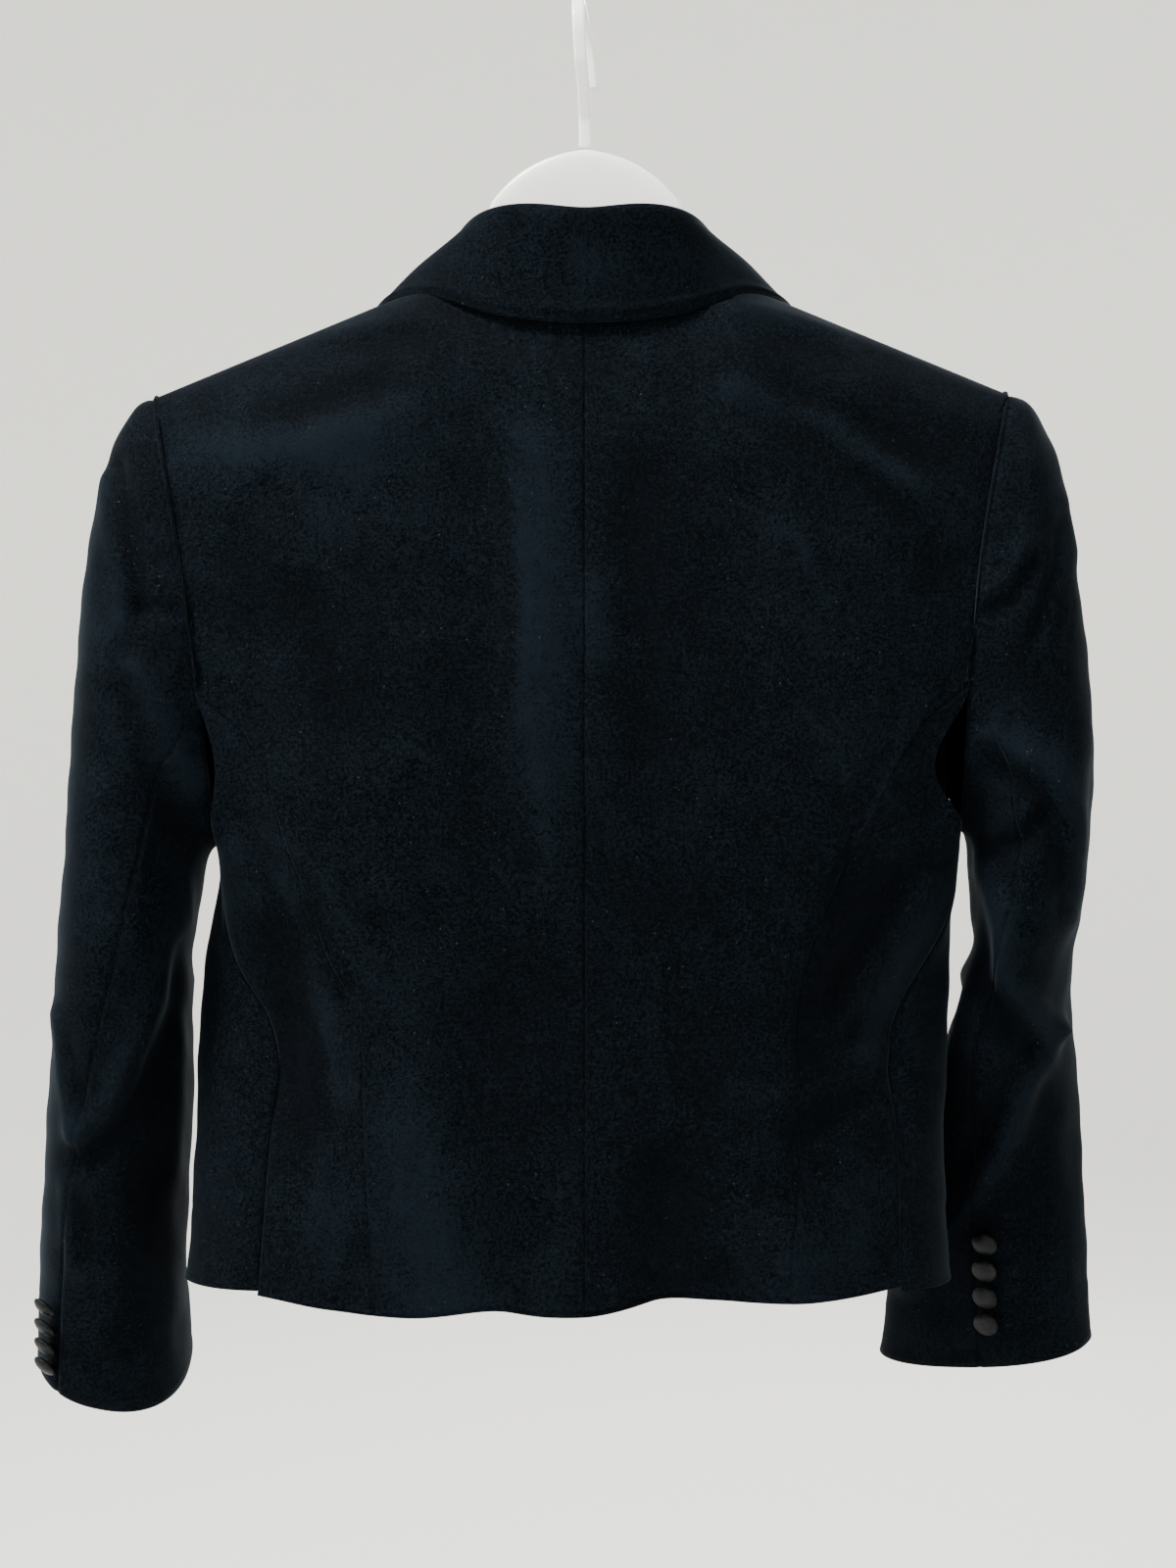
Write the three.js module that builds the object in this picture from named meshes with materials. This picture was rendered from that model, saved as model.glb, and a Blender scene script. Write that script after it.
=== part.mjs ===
// A cropped velvet blazer hanging on a moulded hanger, built from its sewn pieces.
// Millimetres, +Z up. The wearer's front looks towards -Y and the wearer's left is +X.
// The origin is the highest point inside the hook, where it rests on a rail.
import * as THREE from 'three';

// Cloth walls and the gaps between sewn pieces.
const CLOTH = 2.0;
const COLLAR_CLOTH = 1.8;
const SEAM_GAP = 0.3;
const LYING_GAP = 0.6;

// Neck opening: the neck points on the shoulder seams, and the dip at the centre back.
const NECK = { halfWidth: 70, z: -133, backDepth: 38, backDrop: 14 };

// Front opening: the roll line runs from the neck point to the button, the edge runs on to the hem.
const FRONT = { rollX: 6, rollZ: -455, overlap: -14, overlapZ: -474, layer: 3.2 };

// Shoulder ridge: how far below it the cloth has turned down to its full depth, at the neck, at
// the shoulder tip and at the underarm.
const RIDGE = { neck: 55, tip: 105, underarm: 60 };
const SETTLE = 120;

// Shares of a half back, from the centre back seam: neckline, shoulder seam, then armhole.
const BACK_NECK = 0.32;
const BACK_TIP = 0.78;
// Share of a front, from the side seam, at which the shoulder tip lies.
const FRONT_TIP = 0.4;
const FRONT_SQUARENESS = 2.6;
// Power of the turn at a shoulder seam, where it starts level. At an armhole it grows to one.
const SHOULDER_STEEP = 0.5;
// The part of a panel's height that holds the rows over the shoulder ridge.
const RIDGE_SHARE = 0.12;
// Outward is away from a point this far below the middle of a section.
const OUTWARD_RISE = 12;

// Armholes: oval loops from the shoulder tip to the underarm, hollowed towards the body.
const ARMHOLE = {
  left: { tipX: 206, tipZ: -189, baseX: 173, baseZ: -400, depth: 48, hollow: 5 },
  right: { tipX: 202, tipZ: -187, baseX: 178, baseZ: -394, depth: 48, hollow: 9 },
};

// Body sections, a row for each height. seam is the side seam, lying in the valley of the drag
// fold that runs from underarm to waist, back and front are depths at the centre, bend is how
// square the back turns towards the seam, side is the widest place, and gusset is the share of
// the front that lies between seam and side. Rows above the underarm carry the armhole's panels.
const BODY = {
  left: [
    { z: -130, seamX: 190, seamY: 38, back: 44, bend: 3, sideX: 182, sideY: 0, front: 40, gusset: 0.02 },
    { z: -189, seamX: 190, seamY: 40, back: 50, bend: 3, sideX: 182, sideY: -2, front: 52, gusset: 0.02 },
    { z: -240, seamX: 188, seamY: 40, back: 57, bend: 3.5, sideX: 181, sideY: -4, front: 60, gusset: 0.02 },
    { z: -300, seamX: 184, seamY: 35, back: 62, bend: 4.5, sideX: 180, sideY: -4, front: 66, gusset: 0.02 },
    { z: -360, seamX: 178, seamY: 20, back: 64, bend: 7, sideX: 177, sideY: -4, front: 68, gusset: 0.02 },
    { z: -400, seamX: 173, seamY: 26, back: 63, bend: 6, sideX: 176, sideY: -4, front: 67, gusset: 0.02 },
    { z: -425, seamX: 165, seamY: 22, back: 61, bend: 7, sideX: 181, sideY: -7, front: 66, gusset: 0.1 },
    { z: -455, seamX: 157, seamY: 20, back: 59, bend: 8, sideX: 185, sideY: -8, front: 64, gusset: 0.18 },
    { z: -485, seamX: 142, seamY: 26, back: 57, bend: 7, sideX: 187, sideY: -8, front: 62, gusset: 0.22 },
    { z: -540, seamX: 147, seamY: 36, back: 58, bend: 5, sideX: 188, sideY: -6, front: 63, gusset: 0.22 },
    { z: -625, seamX: 153, seamY: 43, back: 60, bend: 4.5, sideX: 193, sideY: -4, front: 64, gusset: 0.22 },
  ],
  right: [
    { z: -130, seamX: 188, seamY: 38, back: 44, bend: 3, sideX: 184, sideY: 0, front: 40, gusset: 0.02 },
    { z: -189, seamX: 188, seamY: 40, back: 50, bend: 3, sideX: 184, sideY: -2, front: 52, gusset: 0.02 },
    { z: -240, seamX: 186, seamY: 40, back: 57, bend: 3.5, sideX: 183, sideY: -4, front: 60, gusset: 0.02 },
    { z: -300, seamX: 184, seamY: 35, back: 62, bend: 4.5, sideX: 182, sideY: -4, front: 66, gusset: 0.02 },
    { z: -360, seamX: 181, seamY: 20, back: 64, bend: 7, sideX: 181, sideY: -4, front: 68, gusset: 0.02 },
    { z: -394, seamX: 178, seamY: 20, back: 63, bend: 7, sideX: 180, sideY: -4, front: 67, gusset: 0.02 },
    { z: -425, seamX: 162, seamY: 22, back: 61, bend: 7, sideX: 179, sideY: -7, front: 66, gusset: 0.1 },
    { z: -460, seamX: 144, seamY: 24, back: 59, bend: 7, sideX: 178, sideY: -8, front: 64, gusset: 0.18 },
    { z: -485, seamX: 139, seamY: 28, back: 57, bend: 6, sideX: 176, sideY: -8, front: 62, gusset: 0.22 },
    { z: -540, seamX: 146, seamY: 36, back: 58, bend: 5, sideX: 173, sideY: -6, front: 63, gusset: 0.22 },
    { z: -625, seamX: 147, seamY: 43, back: 60, bend: 4.5, sideX: 176, sideY: -4, front: 64, gusset: 0.22 },
  ],
};

// Princess seams, as a share of the half back, from the armhole down to the hem.
// They leave the armhole this many degrees round from the shoulder tip.
const PRINCESS_ANGLE = 105;
const PRINCESS = {
  left: [
    { z: -322, share: BACK_TIP + (1 - BACK_TIP) * PRINCESS_ANGLE / 180 },
    { z: -345, share: 0.87 },
    { z: -400, share: 0.8 },
    { z: -476, share: 0.74 },
    { z: -540, share: 0.69 },
    { z: -625, share: 0.63 },
  ],
  right: [
    { z: -322, share: BACK_TIP + (1 - BACK_TIP) * PRINCESS_ANGLE / 180 },
    { z: -345, share: 0.85 },
    { z: -375, share: 0.765 },
    { z: -410, share: 0.705 },
    { z: -476, share: 0.7 },
    { z: -540, share: 0.68 },
    { z: -625, share: 0.625 },
  ],
};

// Hem heights at the centre back, the side and the front edge.
const HEM = { back: -616, side: -609, front: -613 };

// The largest soft folds of the back: a line from (x0, z0) to (x1, z1), how wide it spreads and
// how far it stands out. Negative heights are hollows.
const FOLDS = [
  { name: 'ridge beside the centre seam', x0: 27, z0: -220, x1: 19, z1: -375, width: 16, height: 4 },
  { name: 'left shoulder hollow', x0: 118, z0: -166, x1: 82, z1: -164, width: 9, height: -3 },
  { name: 'left blade ridge', x0: 158, z0: -222, x1: 88, z1: -204, width: 14, height: 3 },
  { name: 'right shoulder hollow', x0: -60, z0: -161, x1: -116, z1: -167, width: 9, height: -3 },
  { name: 'right blade hollow', x0: -92, z0: -196, x1: -155, z1: -221, width: 13, height: -3 },
  { name: 'left waist fold', x0: 134, z0: -444, x1: 126, z1: -528, width: 13, height: -5 },
  { name: 'right waist fold', x0: -122, z0: -420, x1: -100, z1: -560, width: 16, height: -4 },
  { name: 'hem flute left', x0: 75, z0: -540, x1: 62, z1: -620, width: 20, height: 4 },
  { name: 'hem flute right', x0: -33, z0: -560, x1: -38, z1: -620, width: 18, height: -5 },
  { name: 'hem flute far right', x0: -92, z0: -545, x1: -100, z1: -620, width: 20, height: 3 },
];

// Sleeve rings, a row for each section from the armhole to the cuff. out and in are the points
// furthest from the body and nearest to it, half is the half depth across them, turn swings that
// depth about the vertical in degrees, and tilt lowers the back of the ring and lifts its front.
// hind is where the seam at the back of the arm runs, in degrees from the outer point.
const SLEEVE = {
  left: [
    { outX: 206, outY: 0, outZ: -189, inX: 173, inY: 0, inZ: -400, half: 48, turn: 0, tilt: 0, hind: 120 },
    { outX: 216, outY: 0, outZ: -195, inX: 175, inY: 0, inZ: -402, half: 50, turn: 0, tilt: 0, hind: 118 },
    { outX: 228, outY: -2, outZ: -219, inX: 178, inY: -1, inZ: -404, half: 52, turn: 0, tilt: 0, hind: 117 },
    { outX: 237, outY: -4, outZ: -256, inX: 181, inY: -3, inZ: -407, half: 54, turn: 0, tilt: 0, hind: 115 },
    { outX: 242, outY: -6, outZ: -306, inX: 184, inY: -5, inZ: -414, half: 55, turn: 0, tilt: 0, hind: 112 },
    { outX: 246, outY: -8, outZ: -360, inX: 187, inY: -8, inZ: -428, half: 56, turn: 0, tilt: 0, hind: 107 },
    { outX: 250, outY: -9, outZ: -418, inX: 190, inY: -10, inZ: -452, half: 57, turn: 0, tilt: 3, hind: 98 },
    { outX: 255, outY: -12, outZ: -478, inX: 191, inY: -14, inZ: -492, half: 54, turn: 0, tilt: 8, hind: 85 },
    { outX: 261, outY: -21, outZ: -536, inX: 193, inY: -24, inZ: -542, half: 50, turn: 0, tilt: 13, hind: 70 },
    { outX: 266, outY: -32, outZ: -594, inX: 197, inY: -34, inZ: -600, half: 48, turn: 0, tilt: 17, hind: 63 },
    { outX: 269, outY: -42, outZ: -645, inX: 196, inY: -44, inZ: -660, half: 47, turn: 0, tilt: 20, hind: 58 },
  ],
  right: [
    { outX: 202, outY: 0, outZ: -187, inX: 178, inY: 0, inZ: -394, half: 48, turn: 0, tilt: 0, hind: 120 },
    { outX: 213, outY: 0, outZ: -193, inX: 180, inY: 0, inZ: -396, half: 50, turn: 0, tilt: 0, hind: 120 },
    { outX: 224, outY: -2, outZ: -216, inX: 182, inY: -1, inZ: -398, half: 52, turn: 0, tilt: 0, hind: 120 },
    { outX: 232, outY: -4, outZ: -252, inX: 184, inY: -3, inZ: -401, half: 54, turn: 0, tilt: 0, hind: 120 },
    { outX: 239, outY: -6, outZ: -304, inX: 186, inY: -5, inZ: -408, half: 56, turn: 0, tilt: 0, hind: 119 },
    { outX: 243, outY: -8, outZ: -360, inX: 187, inY: -8, inZ: -424, half: 57, turn: 0, tilt: 2, hind: 118 },
    { outX: 241, outY: -10, outZ: -418, inX: 187, inY: -18, inZ: -450, half: 54, turn: 8, tilt: 6, hind: 110 },
    { outX: 234, outY: -14, outZ: -478, inX: 182, inY: -34, inZ: -490, half: 46, turn: 21, tilt: 8, hind: 100 },
    { outX: 236, outY: -19, outZ: -536, inX: 176, inY: -60, inZ: -542, half: 37, turn: 34, tilt: 9, hind: 88 },
    { outX: 241, outY: -24, outZ: -594, inX: 163, inY: -85, inZ: -600, half: 31, turn: 38, tilt: 9, hind: 82 },
    { outX: 246, outY: -30, outZ: -648, inX: 155, inY: -96, inZ: -660, half: 28, turn: 36, tilt: 8, hind: 80 },
  ],
};
const INSEAM = -120;
// Panels and sleeves meet at the same points of the armhole, this many degrees apart.
const ARMHOLE_STEP = 15;
const ARMHOLE_GAP = 0.6;
// How square a sleeve's sections are below the elbow, and a usual radius of them.
const PLUMP = 2.3;
const SLEEVE_RADIUS = 45;

// Collar, a row for each station from the centre back to the front end. The roll is its folded
// top. The fall's edge lies on the body: share is the place across the half back or the front,
// drop is how far below the neckline or shoulder seam it lies.
const COLLAR = [
  { at: 0, rollX: 0, rollY: 45, rollZ: -110, share: 0, drop: 14 },
  { at: 0.2, rollX: 26, rollY: 43, rollZ: -106, share: 0.13, drop: 13 },
  { at: 0.4, rollX: 48, rollY: 32, rollZ: -107, share: 0.27, drop: 11 },
  { at: 0.6, rollX: 60, rollY: 2, rollZ: -113, share: 0.44, drop: 0 },
  { at: 0.8, rollX: 68, rollY: -26, rollZ: -130, share: 0.8, drop: 17 },
  { at: 1, rollX: 67, rollY: -46, rollZ: -158, share: 0.83, drop: 29 },
];
const COLLAR_SIDE = 0.6;
const COLLAR_END_Z = -172;
// The stand's foot clears the neckline and the front edge by these, and stands this far up.
const COLLAR_FOOT = { inward: 0.4, edge: 0.8, up: 0.6 };
// Form of the fold: where the stand bulges and how far, how wide the roll is on the inside and
// on the outside and how far it drops there, and how far the fall stands up and out halfway.
const COLLAR_ROLL = {
  standShare: 0.55, stand: 1.5, inside: 2.6, outside: 3.6, drop: 3, fallUp: 2.2, fallOut: 1,
};

// Lapels, a row for each height: how far the turned back cloth reaches from the roll line.
const LAPEL = [
  { z: -184, reach: 34 },
  { z: -200, reach: 66 },
  { z: -212, reach: 80 },
  { z: -300, reach: 62 },
  { z: -380, reach: 38 },
  { z: -448, reach: 6 },
];
const LAPEL_HEIGHTS = [-184, -192, -201, -212, -240, -270, -300, -335, -370, -400, -425, -448];
// The lapel starts this far from the front edge, and its roll stands this far off the front.
const LAPEL_INSET = 0.4;
const LAPEL_PUFF = 2.2;

// Covered buttons: diameter, thickness, and where they sit on the sleeves and the front.
const CUFF_BUTTON = { radius: 6.3, thick: 4.2, stand: 0.6, count: 4 };
const CUFF_ROW = {
  left: { firstZ: -622, pitch: 9.6, hindOffset: -7, lean: 38 },
  right: { firstZ: -596, pitch: 13.6, hindOffset: -6, lean: 16 },
};
const FRONT_BUTTON = { radius: 9, thick: 5.5, stand: 0.8, z: -486 };
const BUTTON_FOOT = 0.76;

// Hanger: a plate with an arched top whose arms follow the shoulder seams. pull names the point
// that draws a curved part of its outline towards itself.
const HANGER = {
  thick: 11, bevel: 1.4, topZ: -70, archPullX: 30, archPullDrop: 3, archX: 46, archZ: -97,
  neckPullX: 50, neckPullZ: -120, neckInside: 2, underCloth: 3.7, tipShort: 9, tipDrop: 24,
  tipPull: 3, tipUnder: 4, armPullX: 100, armPullZ: -166, neckUnderX: 62, neckUnderZ: -146,
  middlePullX: 40, middleUnderZ: -118,
};
// Hook: a flat strip. Its stem rises in the hanger's plane and leans back under the bend, which
// goes over the rail. Drift is how far the bend wanders sideways.
const HOOK = {
  width: 6, thick: 3, insideRadius: 15, endX: -3, endZ: -36,
  stem: [{ x: 0, y: 0, z: -68.3 }, { x: 0, y: 0.5, z: -55 }, { x: 0.5, y: 6, z: -43 }, { x: 2, y: 14, z: -30 }],
  bendFromX: 3, bendToX: -1, drift: 2,
};

const VELVET = { color: 0x0c0d11, roughness: 0.95, metalness: 0 };
const SATIN = { color: 0x1c1d21, roughness: 0.45, metalness: 0 };
const WHITE = { color: 0xf4f5ef, roughness: 0.22, metalness: 0 };

const radians = (degrees) => degrees * Math.PI / 180;
const mix = (a, b, share) => a + (b - a) * share;
const clamp = (value, low, high) => Math.min(Math.max(value, low), high);
const steps = (count) => Array.from({ length: count + 1 }, (_, i) => i / count);
const angles = (from, to) => steps(Math.round((to - from) / ARMHOLE_STEP)).map((t) => mix(from, to, t));

function ease(value) {
  const share = clamp(value, 0, 1);
  return share * share * (3 - 2 * share);
}

// Smooth curve through four neighbouring values, share running from the second to the third.
function passThrough(before, from, to, after, share) {
  const a = 2 * from;
  const b = to - before;
  const c = 2 * before - 5 * from + 4 * to - after;
  const d = 3 * (from - to) + after - before;
  return 0.5 * (a + share * (b + share * (c + share * d)));
}

// Value of a table's column where its key column has the given value, with soft slopes.
function readTable(rows, key, column, value) {
  const rising = rows[rows.length - 1][key] > rows[0][key];
  let index = 0;
  while (index < rows.length - 2 && (rising ? value > rows[index + 1][key] : value < rows[index + 1][key])) {
    index += 1;
  }
  const slope = (i) => {
    const low = rows[Math.max(i - 1, 0)];
    const high = rows[Math.min(i + 1, rows.length - 1)];
    return (high[column] - low[column]) / (high[key] - low[key]);
  };
  const from = rows[index];
  const to = rows[index + 1];
  const span = to[key] - from[key];
  const t = clamp((value - from[key]) / span, 0, 1);
  const rise = t * t * (3 - 2 * t);
  const start = t * (1 - t) * (1 - t) * span * slope(index);
  const end = t * t * (t - 1) * span * slope(index + 1);
  return mix(from[column], to[column], rise) + start + end;
}

// Point of the armhole loop, angle 0 at the shoulder tip, a half turn at the underarm.
function armholePoint(side, angle, towardsBack) {
  const hole = ARMHOLE[side];
  const middleX = (hole.tipX + hole.baseX) / 2;
  const middleZ = (hole.tipZ + hole.baseZ) / 2;
  return {
    x: middleX + (hole.tipX - middleX) * Math.cos(angle) - hole.hollow * Math.sin(angle) ** 2,
    y: towardsBack * (SEAM_GAP / 2 + hole.depth * Math.sin(angle)),
    z: middleZ + (hole.tipZ - middleZ) * Math.cos(angle),
  };
}

function shoulderPoint(side, share, towardsBack) {
  const hole = ARMHOLE[side];
  return {
    x: mix(NECK.halfWidth, hole.tipX, share),
    y: towardsBack * SEAM_GAP / 2,
    z: mix(NECK.z, hole.tipZ, share),
  };
}

function armholeTop(side, around, towardsBack) {
  return {
    ...armholePoint(side, Math.PI * around, towardsBack),
    steep: mix(SHOULDER_STEEP, 1, ease(around * 8)),
    ridge: mix(RIDGE.tip, RIDGE.underarm, around),
  };
}

// Upper edge of the half back: neckline, shoulder seam, armhole. steep is the form of the turn.
function backTop(side, share) {
  if (share < BACK_NECK) {
    const inward = Math.sqrt(1 - (share / BACK_NECK) ** 2);
    return {
      x: NECK.halfWidth * share / BACK_NECK,
      y: SEAM_GAP / 2 + NECK.backDepth * inward,
      z: NECK.z - NECK.backDrop * inward,
      steep: mix(SHOULDER_STEEP, 1, inward),
      ridge: RIDGE.neck,
    };
  }
  if (share < BACK_TIP) {
    const along = (share - BACK_NECK) / (BACK_TIP - BACK_NECK);
    const ridge = mix(RIDGE.neck, RIDGE.tip, along);
    return { ...shoulderPoint(side, along, 1), steep: SHOULDER_STEEP, ridge };
  }
  return armholeTop(side, (share - BACK_TIP) / (1 - BACK_TIP), 1);
}

// Upper edge of the front: armhole from the underarm up, then shoulder seam to the neck point.
function frontTop(side, share) {
  if (share < FRONT_TIP) {
    return armholeTop(side, 1 - share / FRONT_TIP, -1);
  }
  const along = (share - FRONT_TIP) / (1 - FRONT_TIP);
  const ridge = mix(RIDGE.tip, RIDGE.neck, along);
  return { ...shoulderPoint(side, 1 - along, -1), steep: SHOULDER_STEEP, ridge };
}

function foldHeight(x, z) {
  let height = 0;
  for (const fold of FOLDS) {
    const runX = fold.x1 - fold.x0;
    const runZ = fold.z1 - fold.z0;
    const along = ((x - fold.x0) * runX + (z - fold.z0) * runZ) / (runX * runX + runZ * runZ);
    const nearest = clamp(along, 0, 1);
    const offX = x - fold.x0 - nearest * runX;
    const offZ = z - fold.z0 - nearest * runZ;
    height += fold.height * Math.exp(-(offX * offX + offZ * offZ) / (fold.width * fold.width));
  }
  return height;
}

// How far the cloth has turned from its upper edge to its full section, at a drop below it.
function turned(drop, top) {
  const left = 1 - clamp(drop / top.ridge, 0, 1);
  return (1 - left * left) ** top.steep;
}

// Point of the half back at a share across it and a height.
function backPoint(side, share, z) {
  const row = (column) => readTable(BODY[side], 'z', column, z);
  const top = backTop(side, share);
  const drop = Math.max(top.z - z, 0);
  const sectionX = share * row('seamX');
  const sectionY = mix(row('back'), row('seamY'), share ** row('bend'));
  const mirror = side === 'left' ? 1 : -1;
  const x = mix(top.x, sectionX, ease(drop / SETTLE));
  const fold = foldHeight(mirror * x, z) * ease(drop / 25);
  const y = mix(top.y, sectionY, turned(drop, top)) + fold;
  return new THREE.Vector3(mirror * x, y, z);
}

// Where the front's free edge lies at a height: the roll line, then the overlapping edge.
function frontEdgeX(z) {
  const roll = mix(NECK.halfWidth, FRONT.rollX, clamp((NECK.z - z) / (NECK.z - FRONT.rollZ), 0, 1));
  return mix(roll, FRONT.overlap, ease((FRONT.rollZ - z) / (FRONT.rollZ - FRONT.overlapZ)));
}

// Point of the front at a share from the side seam to the free edge, and a height.
function frontPoint(side, share, z) {
  const row = (column) => readTable(BODY[side], 'z', column, z);
  const top = frontTop(side, share);
  const drop = Math.max(top.z - z, 0);
  const gusset = row('gusset');
  const sideX = row('sideX');
  const sideY = row('sideY');
  let x;
  let y;
  if (share < gusset) {
    const angle = Math.PI / 2 * share / gusset;
    x = mix(row('seamX'), sideX, Math.sin(angle));
    y = mix(sideY, row('seamY'), Math.cos(angle));
  } else {
    const edge = frontEdgeX(z);
    const lastAngle = Math.acos(Math.sign(edge) * (Math.abs(edge) / sideX) ** (FRONT_SQUARENESS / 2));
    const angle = lastAngle * (share - gusset) / (1 - gusset);
    const across = Math.cos(angle);
    x = sideX * Math.sign(across) * Math.abs(across) ** (2 / FRONT_SQUARENESS);
    y = mix(sideY, -row('front'), Math.sin(angle) ** (2 / FRONT_SQUARENESS));
  }
  // The right front lies over the left one, so it stands further out towards its edge.
  const layer = side === 'right' ? FRONT.layer * ease((share - 0.6) / 0.35) * ease(drop / SETTLE) : 0;
  const mirror = side === 'left' ? 1 : -1;
  return new THREE.Vector3(
    mirror * mix(top.x, x, ease(drop / SETTLE)),
    mix(top.y, y, turned(drop, top)) - layer,
    z,
  );
}

function hemZ(share, isFront) {
  return isFront ? mix(HEM.side, HEM.front, ease(share)) : mix(HEM.back, HEM.side, ease(share));
}

// Unit vector square to a surface, from its slopes along both of its coordinates.
function normalOf(surface, a, b, stepA, stepB) {
  const alongA = surface(a + stepA, b).sub(surface(a - stepA, b));
  const alongB = surface(a, b + stepB).sub(surface(a, b - stepB));
  return alongA.cross(alongB).normalize();
}

// Outward unit vector of a body panel. The small step stays clear of the upper edge.
function panelNormal(surface, top, side, share, z) {
  const stepShare = 0.004;
  const stepZ = 0.6;
  const inner = clamp(share, stepShare, 1 - stepShare);
  const below = Math.min(z, top(side, inner).z - 2.5 * stepZ);
  const point = surface(side, inner, below);
  const normal = normalOf((s, h) => surface(side, s, h), inner, below, stepShare, stepZ);
  const outward = new THREE.Vector3(point.x, point.y, OUTWARD_RISE);
  if (normal.dot(outward) < 0) {
    normal.negate();
  }
  return z > top(side, share).z - 0.01 ? edgeNormal(normal, side, top(side, share).steep) : normal;
}

// At a shoulder seam the wall stands upright, and at an armhole it never leans into the sleeve.
function edgeNormal(normal, side, steep) {
  const mirror = side === 'left' ? 1 : -1;
  if (steep === SHOULDER_STEEP) {
    normal.y = 0;
  } else {
    normal.x = mirror * Math.max(normal.x * mirror, 0);
  }
  return normal.normalize();
}

// Closed wall from rows of outer points and rows of inner points, joined round the four edges.
function wallGeometry(outer, inner) {
  const rows = outer.length;
  const columns = outer[0].length;
  const positions = [];
  for (const layer of [outer, inner]) {
    for (const line of layer) {
      for (const point of line) {
        positions.push(point.x, point.y, point.z);
      }
    }
  }
  const at = (layer, i, j) => layer * rows * columns + i * columns + j;
  const faces = [];
  const quad = (a, b, c, d) => faces.push(a, b, c, a, c, d);
  for (let i = 0; i < rows - 1; i += 1) {
    for (let j = 0; j < columns - 1; j += 1) {
      quad(at(0, i, j), at(0, i + 1, j), at(0, i + 1, j + 1), at(0, i, j + 1));
      quad(at(1, i, j), at(1, i, j + 1), at(1, i + 1, j + 1), at(1, i + 1, j));
    }
    quad(at(0, i, 0), at(1, i, 0), at(1, i + 1, 0), at(0, i + 1, 0));
    const last = columns - 1;
    quad(at(0, i, last), at(0, i + 1, last), at(1, i + 1, last), at(1, i, last));
  }
  for (let j = 0; j < columns - 1; j += 1) {
    quad(at(0, 0, j), at(0, 0, j + 1), at(1, 0, j + 1), at(1, 0, j));
    const last = rows - 1;
    quad(at(0, last, j), at(1, last, j), at(1, last, j + 1), at(0, last, j + 1));
  }
  const geometry = new THREE.BufferGeometry();
  geometry.setAttribute('position', new THREE.Float32BufferAttribute(positions, 3));
  geometry.setIndex(faces);
  if (signedVolume(geometry) < 0) {
    turnFaces(geometry);
  }
  geometry.computeVertexNormals();
  return geometry;
}

function signedVolume(geometry) {
  const position = geometry.attributes.position;
  const index = geometry.index.array;
  const corner = (i) => new THREE.Vector3().fromBufferAttribute(position, index[i]);
  let volume = 0;
  for (let i = 0; i < index.length; i += 3) {
    volume += corner(i).dot(corner(i + 1).cross(corner(i + 2))) / 6;
  }
  return volume;
}

function turnFaces(geometry) {
  const index = geometry.index.array;
  for (let i = 0; i < index.length; i += 3) {
    [index[i + 1], index[i + 2]] = [index[i + 2], index[i + 1]];
  }
}

function piece(name, geometry, look) {
  const mesh = new THREE.Mesh(geometry, new THREE.MeshStandardMaterial(look));
  mesh.name = name;
  return mesh;
}

// A sheet of cloth: place(i, j) gives a point and the outward unit vector there.
function sheet(name, rowCount, columnCount, place, thick = CLOTH) {
  const outer = [];
  const inner = [];
  for (let i = 0; i < rowCount; i += 1) {
    const placed = Array.from({ length: columnCount }, (_, j) => place(i, j));
    outer.push(placed.map(({ point }) => point.clone()));
    inner.push(placed.map(({ point, normal }) => point.clone().addScaledVector(normal, -thick)));
  }
  return piece(name, wallGeometry(outer, inner), VELVET);
}

// Drops below the upper edge, as shares of the way to the hem: close over the ridge, then even.
function panelRows(turnRows, evenRows) {
  const shoulder = steps(turnRows).map((t) => RIDGE_SHARE * (1 - Math.cos(t * Math.PI / 2)));
  const rest = steps(evenRows).slice(1).map((t) => mix(RIDGE_SHARE, 1, t));
  return [...shoulder, ...rest];
}

// A body panel between two shares that change with height, cut by the upper edge and the hem.
function panel(name, side, isFront, rows, columns, shareAt, topShareAt) {
  const surface = isFront ? frontPoint : backPoint;
  const top = isFront ? frontTop : backTop;
  return sheet(name, rows.length, columns.length, (i, j) => {
    const topShare = topShareAt(columns[j]);
    const topZ = top(side, topShare).z;
    const z = mix(topZ, hemZ(topShare, isFront), rows[i]);
    const share = shareAt(columns[j], z);
    const point = surface(side, share, z);
    const normal = panelNormal(surface, top, side, share, z);
    return { point, normal };
  });
}

// Width of a seam gap as a share of the half back at a height.
const gapShare = (side, z) => SEAM_GAP / 2 / readTable(BODY[side], 'z', 'seamX', z);

function princessShare(side, z) {
  return readTable(PRINCESS[side], 'z', 'share', Math.min(z, PRINCESS[side][0].z));
}

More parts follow.
